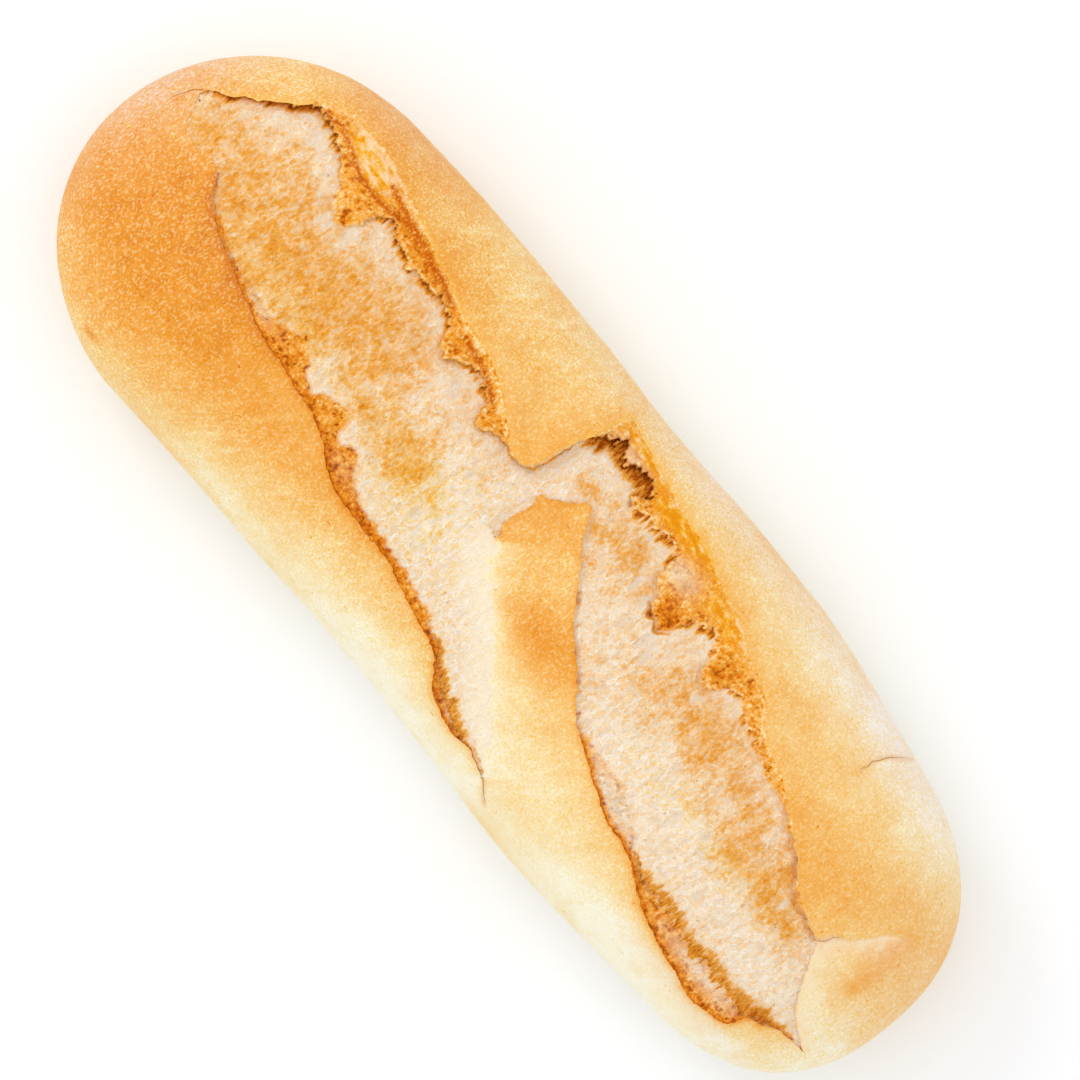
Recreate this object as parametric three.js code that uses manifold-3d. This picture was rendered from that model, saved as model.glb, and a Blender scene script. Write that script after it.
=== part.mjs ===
// A long white loaf, cut twice along its top before baking. In the oven both cuts tore open: the crust
// lifted into a lip on one side of each, and the torn crumb swelled up between lip and crease. The two
// cuts overlap at mid-length, where a strip of crust is left as a tongue between them.
// The loaf is one piece of bread. It lies along X on its flat base, +Z up, in millimetres.
import * as THREE from "three";
import { mergeVertices } from "three/addons/utils/BufferGeometryUtils.js";
import Module from "manifold-3d";

// Driving dimensions of the whole loaf.
const LENGTH = 300;
const HALF_WIDTH = 50.4;
const HEIGHT = 68;
const ARCH = 4; // how far the crest would fall towards either end if it weren't rounded
const BELLY = 27; // height of the widest line above the base
const WAIST = 1.4; // how far the sides draw in at mid-length
const TAPER = 7.6; // how much narrower each side is at the slim end
const BEND = 3.4; // how far both ends lie to one side of the middle
const BASE_SINK = 2.5; // how far the round underside is pressed flat

// Round ends: how far each runs in from its tip, and how square its curve is.
const ROUND_END = { width: [54, 2.0], crest: [74, 2.1], base: [48, 2.2] };
const SLIM_END = { width: [42.6, 2.3], crest: [66, 2.2], base: [42, 2.2] };
const DOME_POWER = 2.2; // squareness of the section above the belly
const SOLE_POWER = 3.2; // squareness of the section below it

// Each cut is a straight blade line, with what opened beside it in millimetres at distances along it.
// lip and crease are the two crust edges, measured across the line. A wall is the width of torn face that
// leans in from a crust edge, a depth is how far the gap at its foot lies below the crust, and a rise is
// how far the crust edge stands up.
const FIRST_CUT = {
  start: [-143, 7],
  end: [38, -41.5],
  lip: [
    [0, 0.6], [9, 19], [22, 37.5], [36, 42.3], [92, 44.2],
    [113, 40.7], [128, 41.5], [133, 30], [165, 11], [187.4, 0.6],
  ],
  crease: [
    [0, -0.6], [16, 1.5], [40, -3.5], [56, -4.1], [90, -1],
    [103, -3.3], [120, -0.9], [145, 1.6], [163, -2.8], [187.4, -0.6],
  ],
  lipWall: [
    [0, 0.2], [15, 1.5], [34, 12.5], [42, 16], [50, 8], [72, 5],
    [82, 9.5], [92, 5.5], [104, 7.5], [118, 0.5], [187.4, 0.2],
  ],
  lipDepth: [[0, 1], [22, 6.5], [104, 5.5], [119, 4], [129, 1.6], [145, 0.6], [187.4, 0.6]],
  lipRise: [[0, 0], [22, 3.6], [92, 3.2], [119, 3.2], [129, 0.8], [187.4, 0]],
  creaseWall: [
    [0, 0.2], [40, 1.5], [56, 3], [69, 7], [80, 3.5], [92, 6],
    [103, 6], [120, 2.5], [145, 1.5], [163, 3], [187.4, 0.2],
  ],
  creaseDepth: [[0, 0.8], [40, 2], [69, 3.5], [103, 5], [150, 3], [163, 4.5], [187.4, 0.8]],
  creaseRise: [[0, 0], [40, 0.8], [103, 1.4], [187.4, 0]],
};
const SECOND_CUT = {
  start: [-8, 44],
  end: [141, -23.3],
  lip: [[0, 0.4], [17, 3.8], [41, 10.6], [98, 12.2], [124, 8.8], [138, 9.6], [146, 4], [163.5, 0.4]],
  crease: [
    [0, -3], [4, -28], [9, -28], [17, -15.5], [36, -23.5], [55, -29.3],
    [82, -33.2], [105, -29.4], [120, -29.2], [138, -25.6], [151, -12.9], [163.5, -0.4],
  ],
  lipWall: [
    [0, 2], [9, 5.5], [29, 8.5], [41, 13], [52, 7.5],
    [63, 11], [74, 5], [98, 2], [138, 0.4], [163.5, 0.2],
  ],
  lipDepth: [[0, 5], [9, 8], [29, 7], [74, 5], [110, 2.5], [138, 1.2], [163.5, 0.8]],
  lipRise: [[0, 2], [98, 1.8], [138, 0.8], [163.5, 0]],
  creaseWall: [[0, 0.3], [60, 0.5], [90, 4.5], [105, 2], [120, 3.5], [138, 5.5], [152, 2], [163.5, 0.2]],
  creaseDepth: [[0, 0.8], [17, 1.4], [74, 1.6], [105, 4], [128, 6.5], [145, 6.5], [163.5, 0.8]],
  creaseRise: [[0, 0], [17, 0.7], [105, 1], [140, 1.4], [163.5, 0]],
};
const LIP_SPREAD = 9; // how far back from its edge a lifted lip blends into the crust
const CREASE_SPREAD = 5;
const CRUST = 0.8; // thickness of crust that stays upright at a torn edge
const SAG = 0.8; // how far the swollen crumb stays below the line of the crust
const RAG = { wall: 0.7, crumb: 0.45 }; // how far torn edges and the crumb's strands wander
const RAG_WAVES = [8.3, 5.1]; // lengths of that wandering along a cut

// How finely the surfaces are divided.
const BODY_RINGS = 76;
const DOME_SIDES = 30;
const SOLE_SIDES = 14;
const CUT_STEP = 2.9;
const CRUMB_STRIPS = 12;
const SLIVER = 0.03; // faces thinner than this are closed up
const END_CROWDING = 0.85; // share of the rings' spacing that crowds towards the two ends

// A smooth run through [place, value] pairs that never overshoots them.
function runThrough(pairs) {
  const slope = (i) => (pairs[i + 1][1] - pairs[i][1]) / (pairs[i + 1][0] - pairs[i][0]);
  const tangent = (i) => {
    if (i === 0 || i === pairs.length - 1) return 0;
    const [before, after] = [slope(i - 1), slope(i)];
    return before * after > 0 ? (2 * before * after) / (before + after) : 0;
  };
  return (place) => {
    const at = THREE.MathUtils.clamp(place, pairs[0][0], pairs.at(-1)[0]);
    const i = Math.min(pairs.findIndex((pair, k) => k > 0 && at <= pair[0]), pairs.length - 1) - 1;
    const span = pairs[i + 1][0] - pairs[i][0];
    const t = (at - pairs[i][0]) / span;
    const ends = (1 + 2 * t) * (1 - t) ** 2 * pairs[i][1] + t * t * (3 - 2 * t) * pairs[i + 1][1];
    return ends + span * t * (1 - t) * ((1 - t) * tangent(i) - t * tangent(i + 1));
  };
}

// The share of full size that is left at a place near either end of the loaf.
function endShare(x, measure) {
  const [reach, power] = (x < 0 ? ROUND_END : SLIM_END)[measure];
  const into = THREE.MathUtils.clamp((Math.abs(x) - LENGTH / 2 + reach) / reach, 0, 1);
  return (1 - into ** power) ** (1 / power);
}

// The loaf's section at x: its middle, half width, and the heights of its crest and base.
function sectionAt(x) {
  const taper = TAPER * THREE.MathUtils.smoothstep(x, 50, 140);
  const waist = WAIST * Math.exp(-(((x - 3) / 32) ** 2));
  return {
    middle: 1.1 - BEND * (x / (LENGTH * 0.45)) ** 2,
    half: (HALF_WIDTH - taper - waist) * endShare(x, "width"),
    crest: BELLY + (HEIGHT - BELLY - ARCH * (x / (LENGTH / 2)) ** 2) * endShare(x, "crest"),
    base: BELLY - (BELLY + BASE_SINK) * endShare(x, "base"),
  };
}

// The height of the uncut dome over a point of the plan.
function domeAt(x, y) {
  const { middle, half, crest } = sectionAt(x);
  const across = Math.min(Math.abs(y - middle) / Math.max(half, 1e-6), 1);
  return BELLY + (crest - BELLY) * (1 - across ** DOME_POWER) ** (1 / DOME_POWER);
}

// A cut with its values as smooth runs, and its blade line as a direction and a crossing direction.
function openCut(cut) {
  const start = new THREE.Vector2(...cut.start);
  const along = new THREE.Vector2(...cut.end).sub(start);
  const length = along.length();
  along.normalize();
  const across = new THREE.Vector2(-along.y, along.x);
  const runs = Object.fromEntries(
    Object.entries(cut)
      .filter(([name]) => name !== "start" && name !== "end")
      .map(([name, pairs]) => [name, runThrough(pairs)]),
  );
  return { start, along, across, length, ...runs };
}
const CUTS = [openCut(FIRST_CUT), openCut(SECOND_CUT)];

// A point of the plan, from its distance along a cut and its offset across it, and the way back.
const planPoint = (cut, distance, offset) =>
  cut.start.clone().addScaledVector(cut.along, distance).addScaledVector(cut.across, offset);
const cutPlace = (cut, x, y) => {
  const from = new THREE.Vector2(x, y).sub(cut.start);
  return [from.dot(cut.along), from.dot(cut.across)];
};

// How far the crust stands up beside the torn edges at a point of the plan.
function riseAt(x, y) {
  const rises = CUTS.map((cut) => {
    const [distance, offset] = cutPlace(cut, x, y);
    const past = Math.max(0, -distance, distance - cut.length);
    const beyondLip = Math.hypot(Math.max(0, offset - cut.lip(distance)), past) / LIP_SPREAD;
    const beyondCrease = Math.hypot(Math.max(0, cut.crease(distance) - offset), past) / CREASE_SPREAD;
    const lipRise = cut.lipRise(distance) * Math.exp(-(beyondLip ** 2));
    const creaseRise = cut.creaseRise(distance) * Math.exp(-(beyondCrease ** 2));
    if (offset < cut.crease(distance)) return creaseRise;
    return offset > cut.lip(distance) ? lipRise : Math.max(lipRise, creaseRise);
  });
  return Math.max(...rises);
}

// The wandering of torn edges and strands, from two waves of different length.
const rag = (distance, phase) =>
  RAG_WAVES.map((wave, i) => Math.sin((2 * Math.PI * distance) / wave + phase * (i + 1)) / 2)
    .reduce((sum, value) => sum + value, 0);

// A closed surface through rings with equally many points, drawn to a tip at either end. Seen from the
// last tip, the points of each ring go round counter-clockwise.
function loft(rings, tips) {
  const sides = rings[0].length;
  const points = [...rings.flat(), ...tips];
  const [first, last] = [points.length - 2, points.length - 1];
  const index = [];
  for (let side = 0; side < sides; side++) {
    const next = (side + 1) % sides;
    index.push(first, next, side);
    for (let ring = 0; ring < rings.length - 1; ring++) {
      const [here, there] = [ring * sides, (ring + 1) * sides];
      index.push(here + side, here + next, there + next, here + side, there + next, there + side);
    }
    index.push(last, last - 1 - sides + side, last - 1 - sides + next);
  }
  return new THREE.BufferGeometry().setFromPoints(points).setIndex(index);
}

const wasm = await Module();
wasm.setup();

// A closed geometry as a solid that can be joined and cut, and a solid as a geometry again.
function solidOf(geometry) {
  const merged = mergeVertices(geometry, 1e-4);
  const mesh = new wasm.Mesh({
    numProp: 3,
    vertProperties: new Float32Array(merged.attributes.position.array),
    triVerts: new Uint32Array(merged.index.array),
  });
  return new wasm.Manifold(mesh);
}
function geometryOf(solid) {
  const { vertProperties, triVerts } = solid.getMesh();
  return new THREE.BufferGeometry()
    .setAttribute("position", new THREE.BufferAttribute(vertProperties, 3))
    .setIndex(new THREE.BufferAttribute(triVerts, 1));
}

// The whole loaf as it would be uncut, with its crust lifted where the cuts will be.
function body() {
  const angles = [
    ...Array.from({ length: DOME_SIDES }, (_, k) => (Math.PI * k) / DOME_SIDES),
    ...Array.from({ length: SOLE_SIDES }, (_, k) => Math.PI + (Math.PI * k) / SOLE_SIDES),
  ];
  const rings = Array.from({ length: BODY_RINGS }, (_, i) => {
    const u = (2 * (i + 0.5)) / BODY_RINGS - 1;
    const crowded = END_CROWDING * Math.sin((Math.PI / 2) * u);
    const x = (LENGTH / 2) * ((1 - END_CROWDING) * u + crowded);
    const { middle, half, crest, base } = sectionAt(x);
    return angles.map((angle) => {
      const [c, s] = [Math.cos(angle), Math.sin(angle)];
      const power = 2 / (s > 0 ? DOME_POWER : SOLE_POWER);
      const y = middle + half * Math.sign(c) * Math.abs(c) ** power;
      const up = Math.abs(s) ** power;
      if (s <= 0) return new THREE.Vector3(x, y, Math.max(0, BELLY - (BELLY - base) * up));
      return new THREE.Vector3(x, y, BELLY + (crest - BELLY) * up + riseAt(x, y) * Math.min(1, 2 * up));
    });
  });
  const tips = [-LENGTH / 2, LENGTH / 2].map((x) => new THREE.Vector3(x, sectionAt(x).middle, BELLY));
  return loft(rings, tips);
}

// The places along a cut where its sections are drawn, from and to a little inside its ends.
function stations(cut, inset) {
  const span = cut.length - 2 * inset;
  const count = Math.round(span / CUT_STEP);
  return Array.from({ length: count + 1 }, (_, i) => inset + (span * i) / count);
}

// The two torn gaps of a cut at a place along it: where each lies across the cut, and how high.
function gapsAt(cut, distance) {
  const [lip, crease] = [cut.lip(distance), cut.crease(distance)];
  const room = (lip - crease) / 2 - 0.15;
  const wall = (width, phase) => {
    const ragged = width + Math.min(width, 1) * RAG.wall * rag(distance, phase);
    return THREE.MathUtils.clamp(ragged, 0.1, room);
  };
  const gap = (offset, depth) => {
    const { x, y } = planPoint(cut, distance, offset);
    return { offset, x, y, z: domeAt(x, y) - depth };
  };
  return {
    lipGap: gap(lip - wall(cut.lipWall(distance), 1.3), cut.lipDepth(distance)),
    creaseGap: gap(crease + wall(cut.creaseWall(distance), 2.1), cut.creaseDepth(distance)),
  };
}

const middleOf = (ring) =>
  ring.reduce((sum, point) => sum.add(point), new THREE.Vector3()).divideScalar(ring.length);

// What a cut leaves open: upright through the crust, then leaning in to the gap on either side.
function trench(cut) {
  const clear = 14;
  const rings = stations(cut, 0).map((distance) => {
    const edge = (offset, lift) => {
      const { x, y } = planPoint(cut, distance, offset);
      return new THREE.Vector3(x, y, domeAt(x, y) + lift);
    };
    const { lipGap, creaseGap } = gapsAt(cut, distance);
    const [lip, crease] = [cut.lip(distance), cut.crease(distance)];
    const lipFoot = Math.max(cut.lipRise(distance) - CRUST, -cut.lipDepth(distance) / 2);
    const creaseFoot = Math.max(cut.creaseRise(distance) - CRUST, -cut.creaseDepth(distance) / 2);
    return [
      edge(crease, clear),
      edge(crease, creaseFoot),
      new THREE.Vector3(creaseGap.x, creaseGap.y, creaseGap.z),
      new THREE.Vector3(lipGap.x, lipGap.y, lipGap.z),
      edge(lip, lipFoot),
      edge(lip, clear),
    ];
  });
  return loft(rings, [middleOf(rings[0]), middleOf(rings.at(-1))]);
}

// The torn crumb that swells up between the two gaps of a cut, rooted below the cut's floor.
function crumb(cut) {
  const root = 14;
  const tuck = 0.4;
  const rings = stations(cut, 1.5).map((distance) => {
    const { lipGap, creaseGap } = gapsAt(cut, distance);
    const top = Array.from({ length: CRUMB_STRIPS + 1 }, (_, k) => {
      const t = k / CRUMB_STRIPS;
      const { x, y } = planPoint(cut, distance, THREE.MathUtils.lerp(creaseGap.offset, lipGap.offset, t));
      const floor = THREE.MathUtils.lerp(creaseGap.z, lipGap.z, t) - tuck;
      const swell = (1 - Math.abs(2 * t - 1) ** 3.5) ** 0.5;
      const strands = RAG.crumb * rag(distance, 0.7 + 2.4 * t);
      return new THREE.Vector3(x, y, floor + (domeAt(x, y) - SAG + strands - floor) * swell);
    });
    const deep = (gap) => new THREE.Vector3(gap.x, gap.y, gap.z - root);
    return [deep(creaseGap), deep(lipGap), ...top.reverse()];
  });
  return loft(rings, [middleOf(rings[0]), middleOf(rings.at(-1))]);
}

function loaf() {
  const [bread, ...cutOut] = [body(), ...CUTS.map(trench)].map(solidOf);
  const slashed = cutOut.reduce((solid, cutter) => solid.subtract(cutter), bread);
  const risen = CUTS.map((cut) => solidOf(crumb(cut))).reduce((solid, swell) => solid.add(swell), slashed);
  const clean = risen.simplify(SLIVER);
  const material = new THREE.MeshStandardMaterial({ color: 0xf2bf7d, roughness: 0.75, metalness: 0 });
  const mesh = new THREE.Mesh(geometryOf(clean), material);
  mesh.name = "loaf";
  return mesh;
}

const bread = new THREE.Group();
bread.add(loaf());

export default bread;
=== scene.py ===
"""A long white loaf, cut twice along its top before baking, lying on a pale studio floor."""

import math

import bmesh
import bpy
import numpy as np
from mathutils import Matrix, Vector


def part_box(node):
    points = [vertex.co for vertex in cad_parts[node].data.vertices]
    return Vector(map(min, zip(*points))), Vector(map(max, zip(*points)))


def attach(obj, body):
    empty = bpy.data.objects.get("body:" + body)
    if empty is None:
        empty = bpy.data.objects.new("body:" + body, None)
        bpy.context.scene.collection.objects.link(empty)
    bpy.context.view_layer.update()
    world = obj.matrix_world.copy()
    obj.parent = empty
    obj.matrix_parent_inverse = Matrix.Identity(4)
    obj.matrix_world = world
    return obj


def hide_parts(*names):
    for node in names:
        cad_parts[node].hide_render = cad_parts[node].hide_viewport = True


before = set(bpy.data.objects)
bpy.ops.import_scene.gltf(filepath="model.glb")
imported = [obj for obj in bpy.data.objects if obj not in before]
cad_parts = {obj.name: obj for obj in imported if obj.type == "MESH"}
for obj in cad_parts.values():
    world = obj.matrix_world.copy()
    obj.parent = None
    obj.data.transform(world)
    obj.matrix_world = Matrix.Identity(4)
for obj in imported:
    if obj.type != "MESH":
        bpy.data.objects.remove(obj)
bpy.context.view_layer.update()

# The crust
# The browned skin of the loaf and the bread under it: wheat dough rolled by hand into a long shape, cut
# twice with a blade and baked free on its flat base. Both cuts tore open in the oven, so the crust stands
# up in a lip along one side of each, and a tongue of crust is left between them.

# All sizes are in millimetres, in the frame of the solid.
MM = 0.001
low, high = (np.array(corner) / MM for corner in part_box("loaf"))
LENGTH = high[0] - low[0]
SIDE_SWELL = 0.6  # how far the uneven sides reach out past the plain form
HALF_WIDTH = (high[1] - low[1]) / 2 - SIDE_SWELL
LIP_TOP = 1.56  # how far the highest lip stands above the crest
CREST = high[2] - LIP_TOP
BELLY = 27.0  # height of the widest line
ARCH = 4.0  # how far the crest falls from mid-length to the ends
WAIST = 1.4  # how far each side draws in at the waist
WAIST_PLACE = (3.0, 32.0)  # x of the waist, and its reach
TAPER = 7.6  # how far each side draws in towards the slim end
TAPER_RANGE = (50.0, 140.0)
MIDDLE = 1.1  # y of the middle line at mid-length
BEND = 3.4  # how far the middle line bends aside towards the ends
BEND_REACH = 0.45 * LENGTH
BASE_SINK = 2.5  # how far the round section would reach below the floor, where it is flattened
DOME_POWER = 2.2  # squareness of the section above the widest line
SOLE_POWER = 3.2  # and below it
# Reach and squareness of the two ends, the round one first.
END_WIDTH = ((54.0, 2.0), (42.6, 2.3))
END_CREST = ((74.0, 2.1), (66.0, 2.2))
END_BASE = ((48.0, 2.2), (42.0, 2.2))


def ease(start, end, value):
    """0 before start, 1 after end, and smooth between them."""
    t = np.clip((value - start) / (end - start), 0, 1)
    return t * t * (3 - 2 * t)


def bell(value, middle, reach):
    """1 at the middle, falling off smoothly to either side."""
    return np.exp(-(((value - middle) / reach) ** 2))


def end_share(x, ends):
    """The share of full size that is left near either end."""
    reach = np.where(x < 0, ends[0][0], ends[1][0])
    power = np.where(x < 0, ends[0][1], ends[1][1])
    taken = np.clip((np.abs(x) - LENGTH / 2 + reach) / reach, 0, 1)
    return (1 - taken**power) ** (1 / power)


def section_at(x):
    """Middle, half width, crest height and base height of the loaf at x."""
    middle = MIDDLE - BEND * (x / BEND_REACH) ** 2
    half = HALF_WIDTH - TAPER * ease(*TAPER_RANGE, x) - WAIST * bell(x, *WAIST_PLACE)
    crest = BELLY + (CREST - BELLY - ARCH * (x / (LENGTH / 2)) ** 2) * end_share(x, END_CREST)
    base = BELLY - (BELLY + BASE_SINK) * end_share(x, END_BASE)
    return middle, half * end_share(x, END_WIDTH), crest, base


# Large odd numbers that scatter the bits of a place, and the bits that are kept.
SCATTER = (374761393, 668265263, 974634541, 1274126177)
WORD = 0xFFFFFFFF
LOW_BITS = 0xFFFFFF
# Each finer set of hills is lower and closer than the last, and starts from another place and seed.
FINER_HEIGHT = 0.55
FINER_SCALE = 2.03
FINER_SHIFT = (11.3, 5.7)
FINER_SEED = 17


def lattice(ix, iy, seed):
    """A fixed random number from 0 to 1 for each whole-numbered place."""
    column, row = ix.astype(np.int64), iy.astype(np.int64)
    mixed = (column * SCATTER[0] + row * SCATTER[1] + seed * SCATTER[2]) & WORD
    mixed = ((mixed ^ (mixed >> 13)) * SCATTER[3]) & WORD
    return ((mixed ^ (mixed >> 16)) & LOW_BITS) / LOW_BITS


def waves(x, y, seed, octaves=1):
    """Smooth random hills from -1 to 1, about one unit across, with finer ones on top for each octave."""
    total = np.zeros(np.broadcast(x, y).shape)
    weight, weights = 1.0, 0.0
    for octave in range(octaves):
        ix, iy = np.floor(x), np.floor(y)
        fx, fy = x - ix, y - iy
        ux, uy = fx**3 * (fx * (6 * fx - 15) + 10), fy**3 * (fy * (6 * fy - 15) + 10)
        key = seed + FINER_SEED * octave
        near = lattice(ix, iy, key) * (1 - ux) + lattice(ix + 1, iy, key) * ux
        far = lattice(ix, iy + 1, key) * (1 - ux) + lattice(ix + 1, iy + 1, key) * ux
        total += weight * (2 * (near * (1 - uy) + far * uy) - 1)
        weights += weight
        weight *= FINER_HEIGHT
        x, y = FINER_SCALE * x + FINER_SHIFT[0], FINER_SCALE * y + FINER_SHIFT[1]
    return total / weights


SWELL = 0.55  # height of the broad swells of the crust
RIPPLE = 0.09  # and of its fine ripples


def unevenness(x, angle):
    """How far the crust swells or dips from its plain form, by the angle round its section."""
    return SWELL * waves(x / 34, 3.1 * angle, 21, 2) + RIPPLE * waves(x / 2.6, 6 * angle, 23, 2)


def dome_at(x, y):
    """Height of the uncut dome over the plan."""
    middle, half, crest, _ = section_at(x)
    across = np.clip((y - middle) / np.maximum(half, 0.001), -1, 1)
    angle = np.arccos(np.sign(across) * np.abs(across) ** (DOME_POWER / 2))
    up = np.sin(angle) ** (2 / DOME_POWER)
    return BELLY + (crest - BELLY) * up + unevenness(x, angle) * up


# The edge of the torn crust, all the way round, in rows of x, y and how far the crust stands up there.
FIRST_LIP = (
    (-139.5, 13.0, 0.2), (-138.0, 15.0, 0.5), (-130.0, 21.5, 1.4), (-121.5, 29.8, 2.6), (-116.0, 35.0, 3.2),
    (-110.0, 38.6, 3.4), (-103.0, 38.5, 3.4), (-96.0, 38.6, 3.4), (-90.0, 37.5, 3.4), (-80.0, 35.0, 3.4),
    (-70.0, 32.0, 3.2), (-57.0, 29.0, 3.2), (-50.0, 27.0, 3.2), (-40.0, 25.5, 3.2), (-30.0, 20.6, 3.2),
    (-25.0, 18.0, 3.2), (-20.0, 15.9, 3.2), (-17.0, 15.4, 3.2),
)
NOTCH = (
    (-17.0, 15.4, 3.2), (-15.0, 17.0, 3.2), (-13.7, 21.0, 3.2), (-13.0, 26.0, 3.2), (-12.0, 30.5, 3.0),
    (-10.0, 35.5, 2.8), (-9.0, 39.0, 2.4), (-8.0, 44.0, 2.0),
)
SECOND_LIP = (
    (-8.0, 44.0, 2.0), (0.0, 42.7, 2.0), (8.0, 41.0, 2.0), (20.0, 39.0, 2.0), (35.0, 36.0, 2.0),
    (50.0, 31.0, 2.0), (60.0, 27.0, 2.0), (68.0, 24.0, 1.8), (71.0, 21.0, 1.8), (75.0, 18.5, 1.8),
    (86.0, 15.0, 1.6), (95.0, 10.3, 1.4), (105.0, 4.3, 1.2), (110.0, 0.5, 1.0), (115.0, -1.0, 0.9),
    (121.5, -3.5, 0.8),
)
FLAP = (
    (121.5, -3.5, 0.8), (125.0, -9.5, 0.8), (128.5, -15.0, 0.8), (132.0, -19.0, 0.6), (137.0, -21.8, 0.4),
    (141.0, -23.5, 0.2),
)
SECOND_CREASE = (
    (141.0, -23.5, 0.2), (137.0, -24.0, 0.4), (133.0, -24.8, 0.8), (130.0, -26.5, 1.0), (125.0, -29.5, 1.2),
    (123.5, -33.0, 1.4), (117.0, -35.6, 1.5), (114.0, -36.5, 1.5), (105.0, -35.5, 1.5), (95.0, -33.5, 1.4),
    (85.0, -30.5, 1.2), (80.0, -28.0, 1.0), (75.0, -25.7, 0.9), (65.0, -24.0, 0.8), (55.0, -20.5, 0.8),
    (50.0, -18.5, 0.8), (42.0, -15.0, 0.8), (35.0, -9.0, 0.8), (25.0, -1.5, 0.8), (16.0, 7.0, 0.8),
    (9.0, 14.0, 0.8), (3.5, 21.0, 0.8),
)
TONGUE_TIP = (
    (3.5, 21.0, 0.8), (2.0, 22.0, 0.8), (0.0, 20.5, 0.8), (-3.0, 18.0, 0.8), (-6.0, 15.5, 0.8),
    (-8.0, 14.0, 0.8),
)
TONGUE_SIDE = ((-8.0, 14.0, 0.8), (-6.8, 11.0, 0.7), (-7.6, 8.0, 0.7), (-8.0, 4.0, 0.6), (-6.5, -1.0, 0.3))
TONGUE_FOOT = (
    (-6.5, -1.0, 0.3), (-2.0, -6.5, 0.1), (4.4, -11.9, 0.0), (19.3, -25.2, 0.0), (38.0, -41.7, 0.0),
)
FIRST_CREASE = (
    (38.0, -41.7, 0.1), (30.0, -39.8, 0.4), (23.0, -40.0, 0.6), (17.0, -38.8, 0.8), (13.0, -37.7, 0.8),
    (6.0, -31.5, 0.8), (0.0, -29.5, 0.9), (-10.0, -27.3, 1.0), (-20.0, -25.2, 1.1), (-30.0, -24.8, 1.2),
    (-45.0, -22.8, 1.4), (-55.0, -17.5, 1.3), (-65.0, -15.6, 1.2), (-82.0, -13.2, 0.9), (-95.0, -10.0, 0.8),
    (-105.0, -6.8, 0.8), (-115.0, -2.2, 0.6), (-121.0, 3.6, 0.4),
)
LEFT_TIP = (
    (-121.0, 3.6, 0.4), (-125.0, 4.9, 0.3), (-130.0, 3.3, 0.2), (-134.0, 5.0, 0.2), (-136.5, 8.5, 0.2),
    (-139.5, 13.0, 0.2),
)

# The edge of the swollen crumb inside it, in rows of x, y, the depth of the gap there and its width.
FIRST_LIP_GAP = (
    (-138.7, 12.8, 2.0, 1.0), (-130.0, 20.0, 3.8, 2.8), (-121.0, 27.8, 4.6, 2.8), (-115.0, 31.0, 6.0, 1.6),
    (-110.0, 30.3, 6.5, 1.4), (-105.0, 29.0, 5.5, 0.6), (-102.0, 27.0, 5.0, 0.3), (-98.0, 23.5, 4.0, 0.2),
    (-95.0, 20.5, 3.5, 0.1), (-92.0, 19.5, 3.5, 0.1), (-90.0, 20.5, 3.5, 0.1), (-87.5, 26.0, 4.5, 0.3),
    (-84.0, 28.3, 5.5, 1.3), (-80.0, 26.3, 5.5, 1.1), (-75.0, 25.0, 5.5, 1.0), (-70.0, 24.2, 5.5, 1.2),
    (-65.0, 25.2, 6.0, 1.5), (-60.0, 24.7, 6.0, 1.6), (-56.0, 22.8, 5.0, 0.9), (-52.0, 18.5, 4.0, 0.1),
    (-50.0, 17.0, 4.0, 0.1), (-45.0, 19.5, 5.0, 0.5), (-40.0, 20.4, 5.5, 1.3), (-36.0, 19.9, 5.0, 1.0),
    (-34.0, 17.0, 4.0, 0.2), (-32.0, 13.5, 3.5, 0.1), (-30.0, 13.0, 3.5, 0.1), (-25.0, 14.3, 3.8, 0.4),
    (-17.0, 14.9, 3.2, 0.2),
)
NOTCH_GAP = (
    (-17.0, 14.9, 3.2, 0.2), (-14.3, 17.0, 3.0, 0.1), (-13.0, 21.0, 3.0, 0.1), (-12.2, 26.0, 3.4, 0.3),
    (-10.5, 29.5, 5.0, 1.2), (-7.0, 32.6, 7.5, 3.2), (0.0, 33.3, 8.5, 4.6), (6.5, 33.8, 8.0, 3.4),
)
SECOND_LIP_GAP = (
    (6.5, 33.8, 8.0, 3.4), (8.0, 31.0, 5.0, 0.2), (10.0, 30.0, 5.5, 0.9), (17.0, 30.4, 6.5, 1.5),
    (24.5, 29.4, 6.0, 1.4), (27.0, 24.0, 4.0, 0.2), (30.0, 21.5, 4.0, 0.2), (33.0, 16.6, 3.5, 0.1),
    (37.5, 16.6, 4.0, 0.1), (41.0, 22.0, 6.0, 1.3), (45.0, 24.0, 6.0, 1.6), (49.0, 21.0, 5.0, 0.7),
    (52.0, 17.0, 4.0, 0.1), (55.0, 16.0, 4.0, 0.1), (62.0, 19.3, 5.0, 0.8), (66.0, 17.5, 4.5, 0.8),
    (70.0, 16.5, 4.2, 0.8), (75.0, 15.0, 3.8, 0.6), (80.0, 13.5, 3.6, 0.4), (90.0, 11.0, 3.0, 0.3),
    (95.0, 9.0, 2.6, 0.3), (105.0, 3.5, 1.8, 0.2), (110.0, -0.2, 1.6, 0.2), (115.0, -1.6, 1.2, 0.1),
    (121.0, -4.1, 1.0, 0.1),
)
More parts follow.
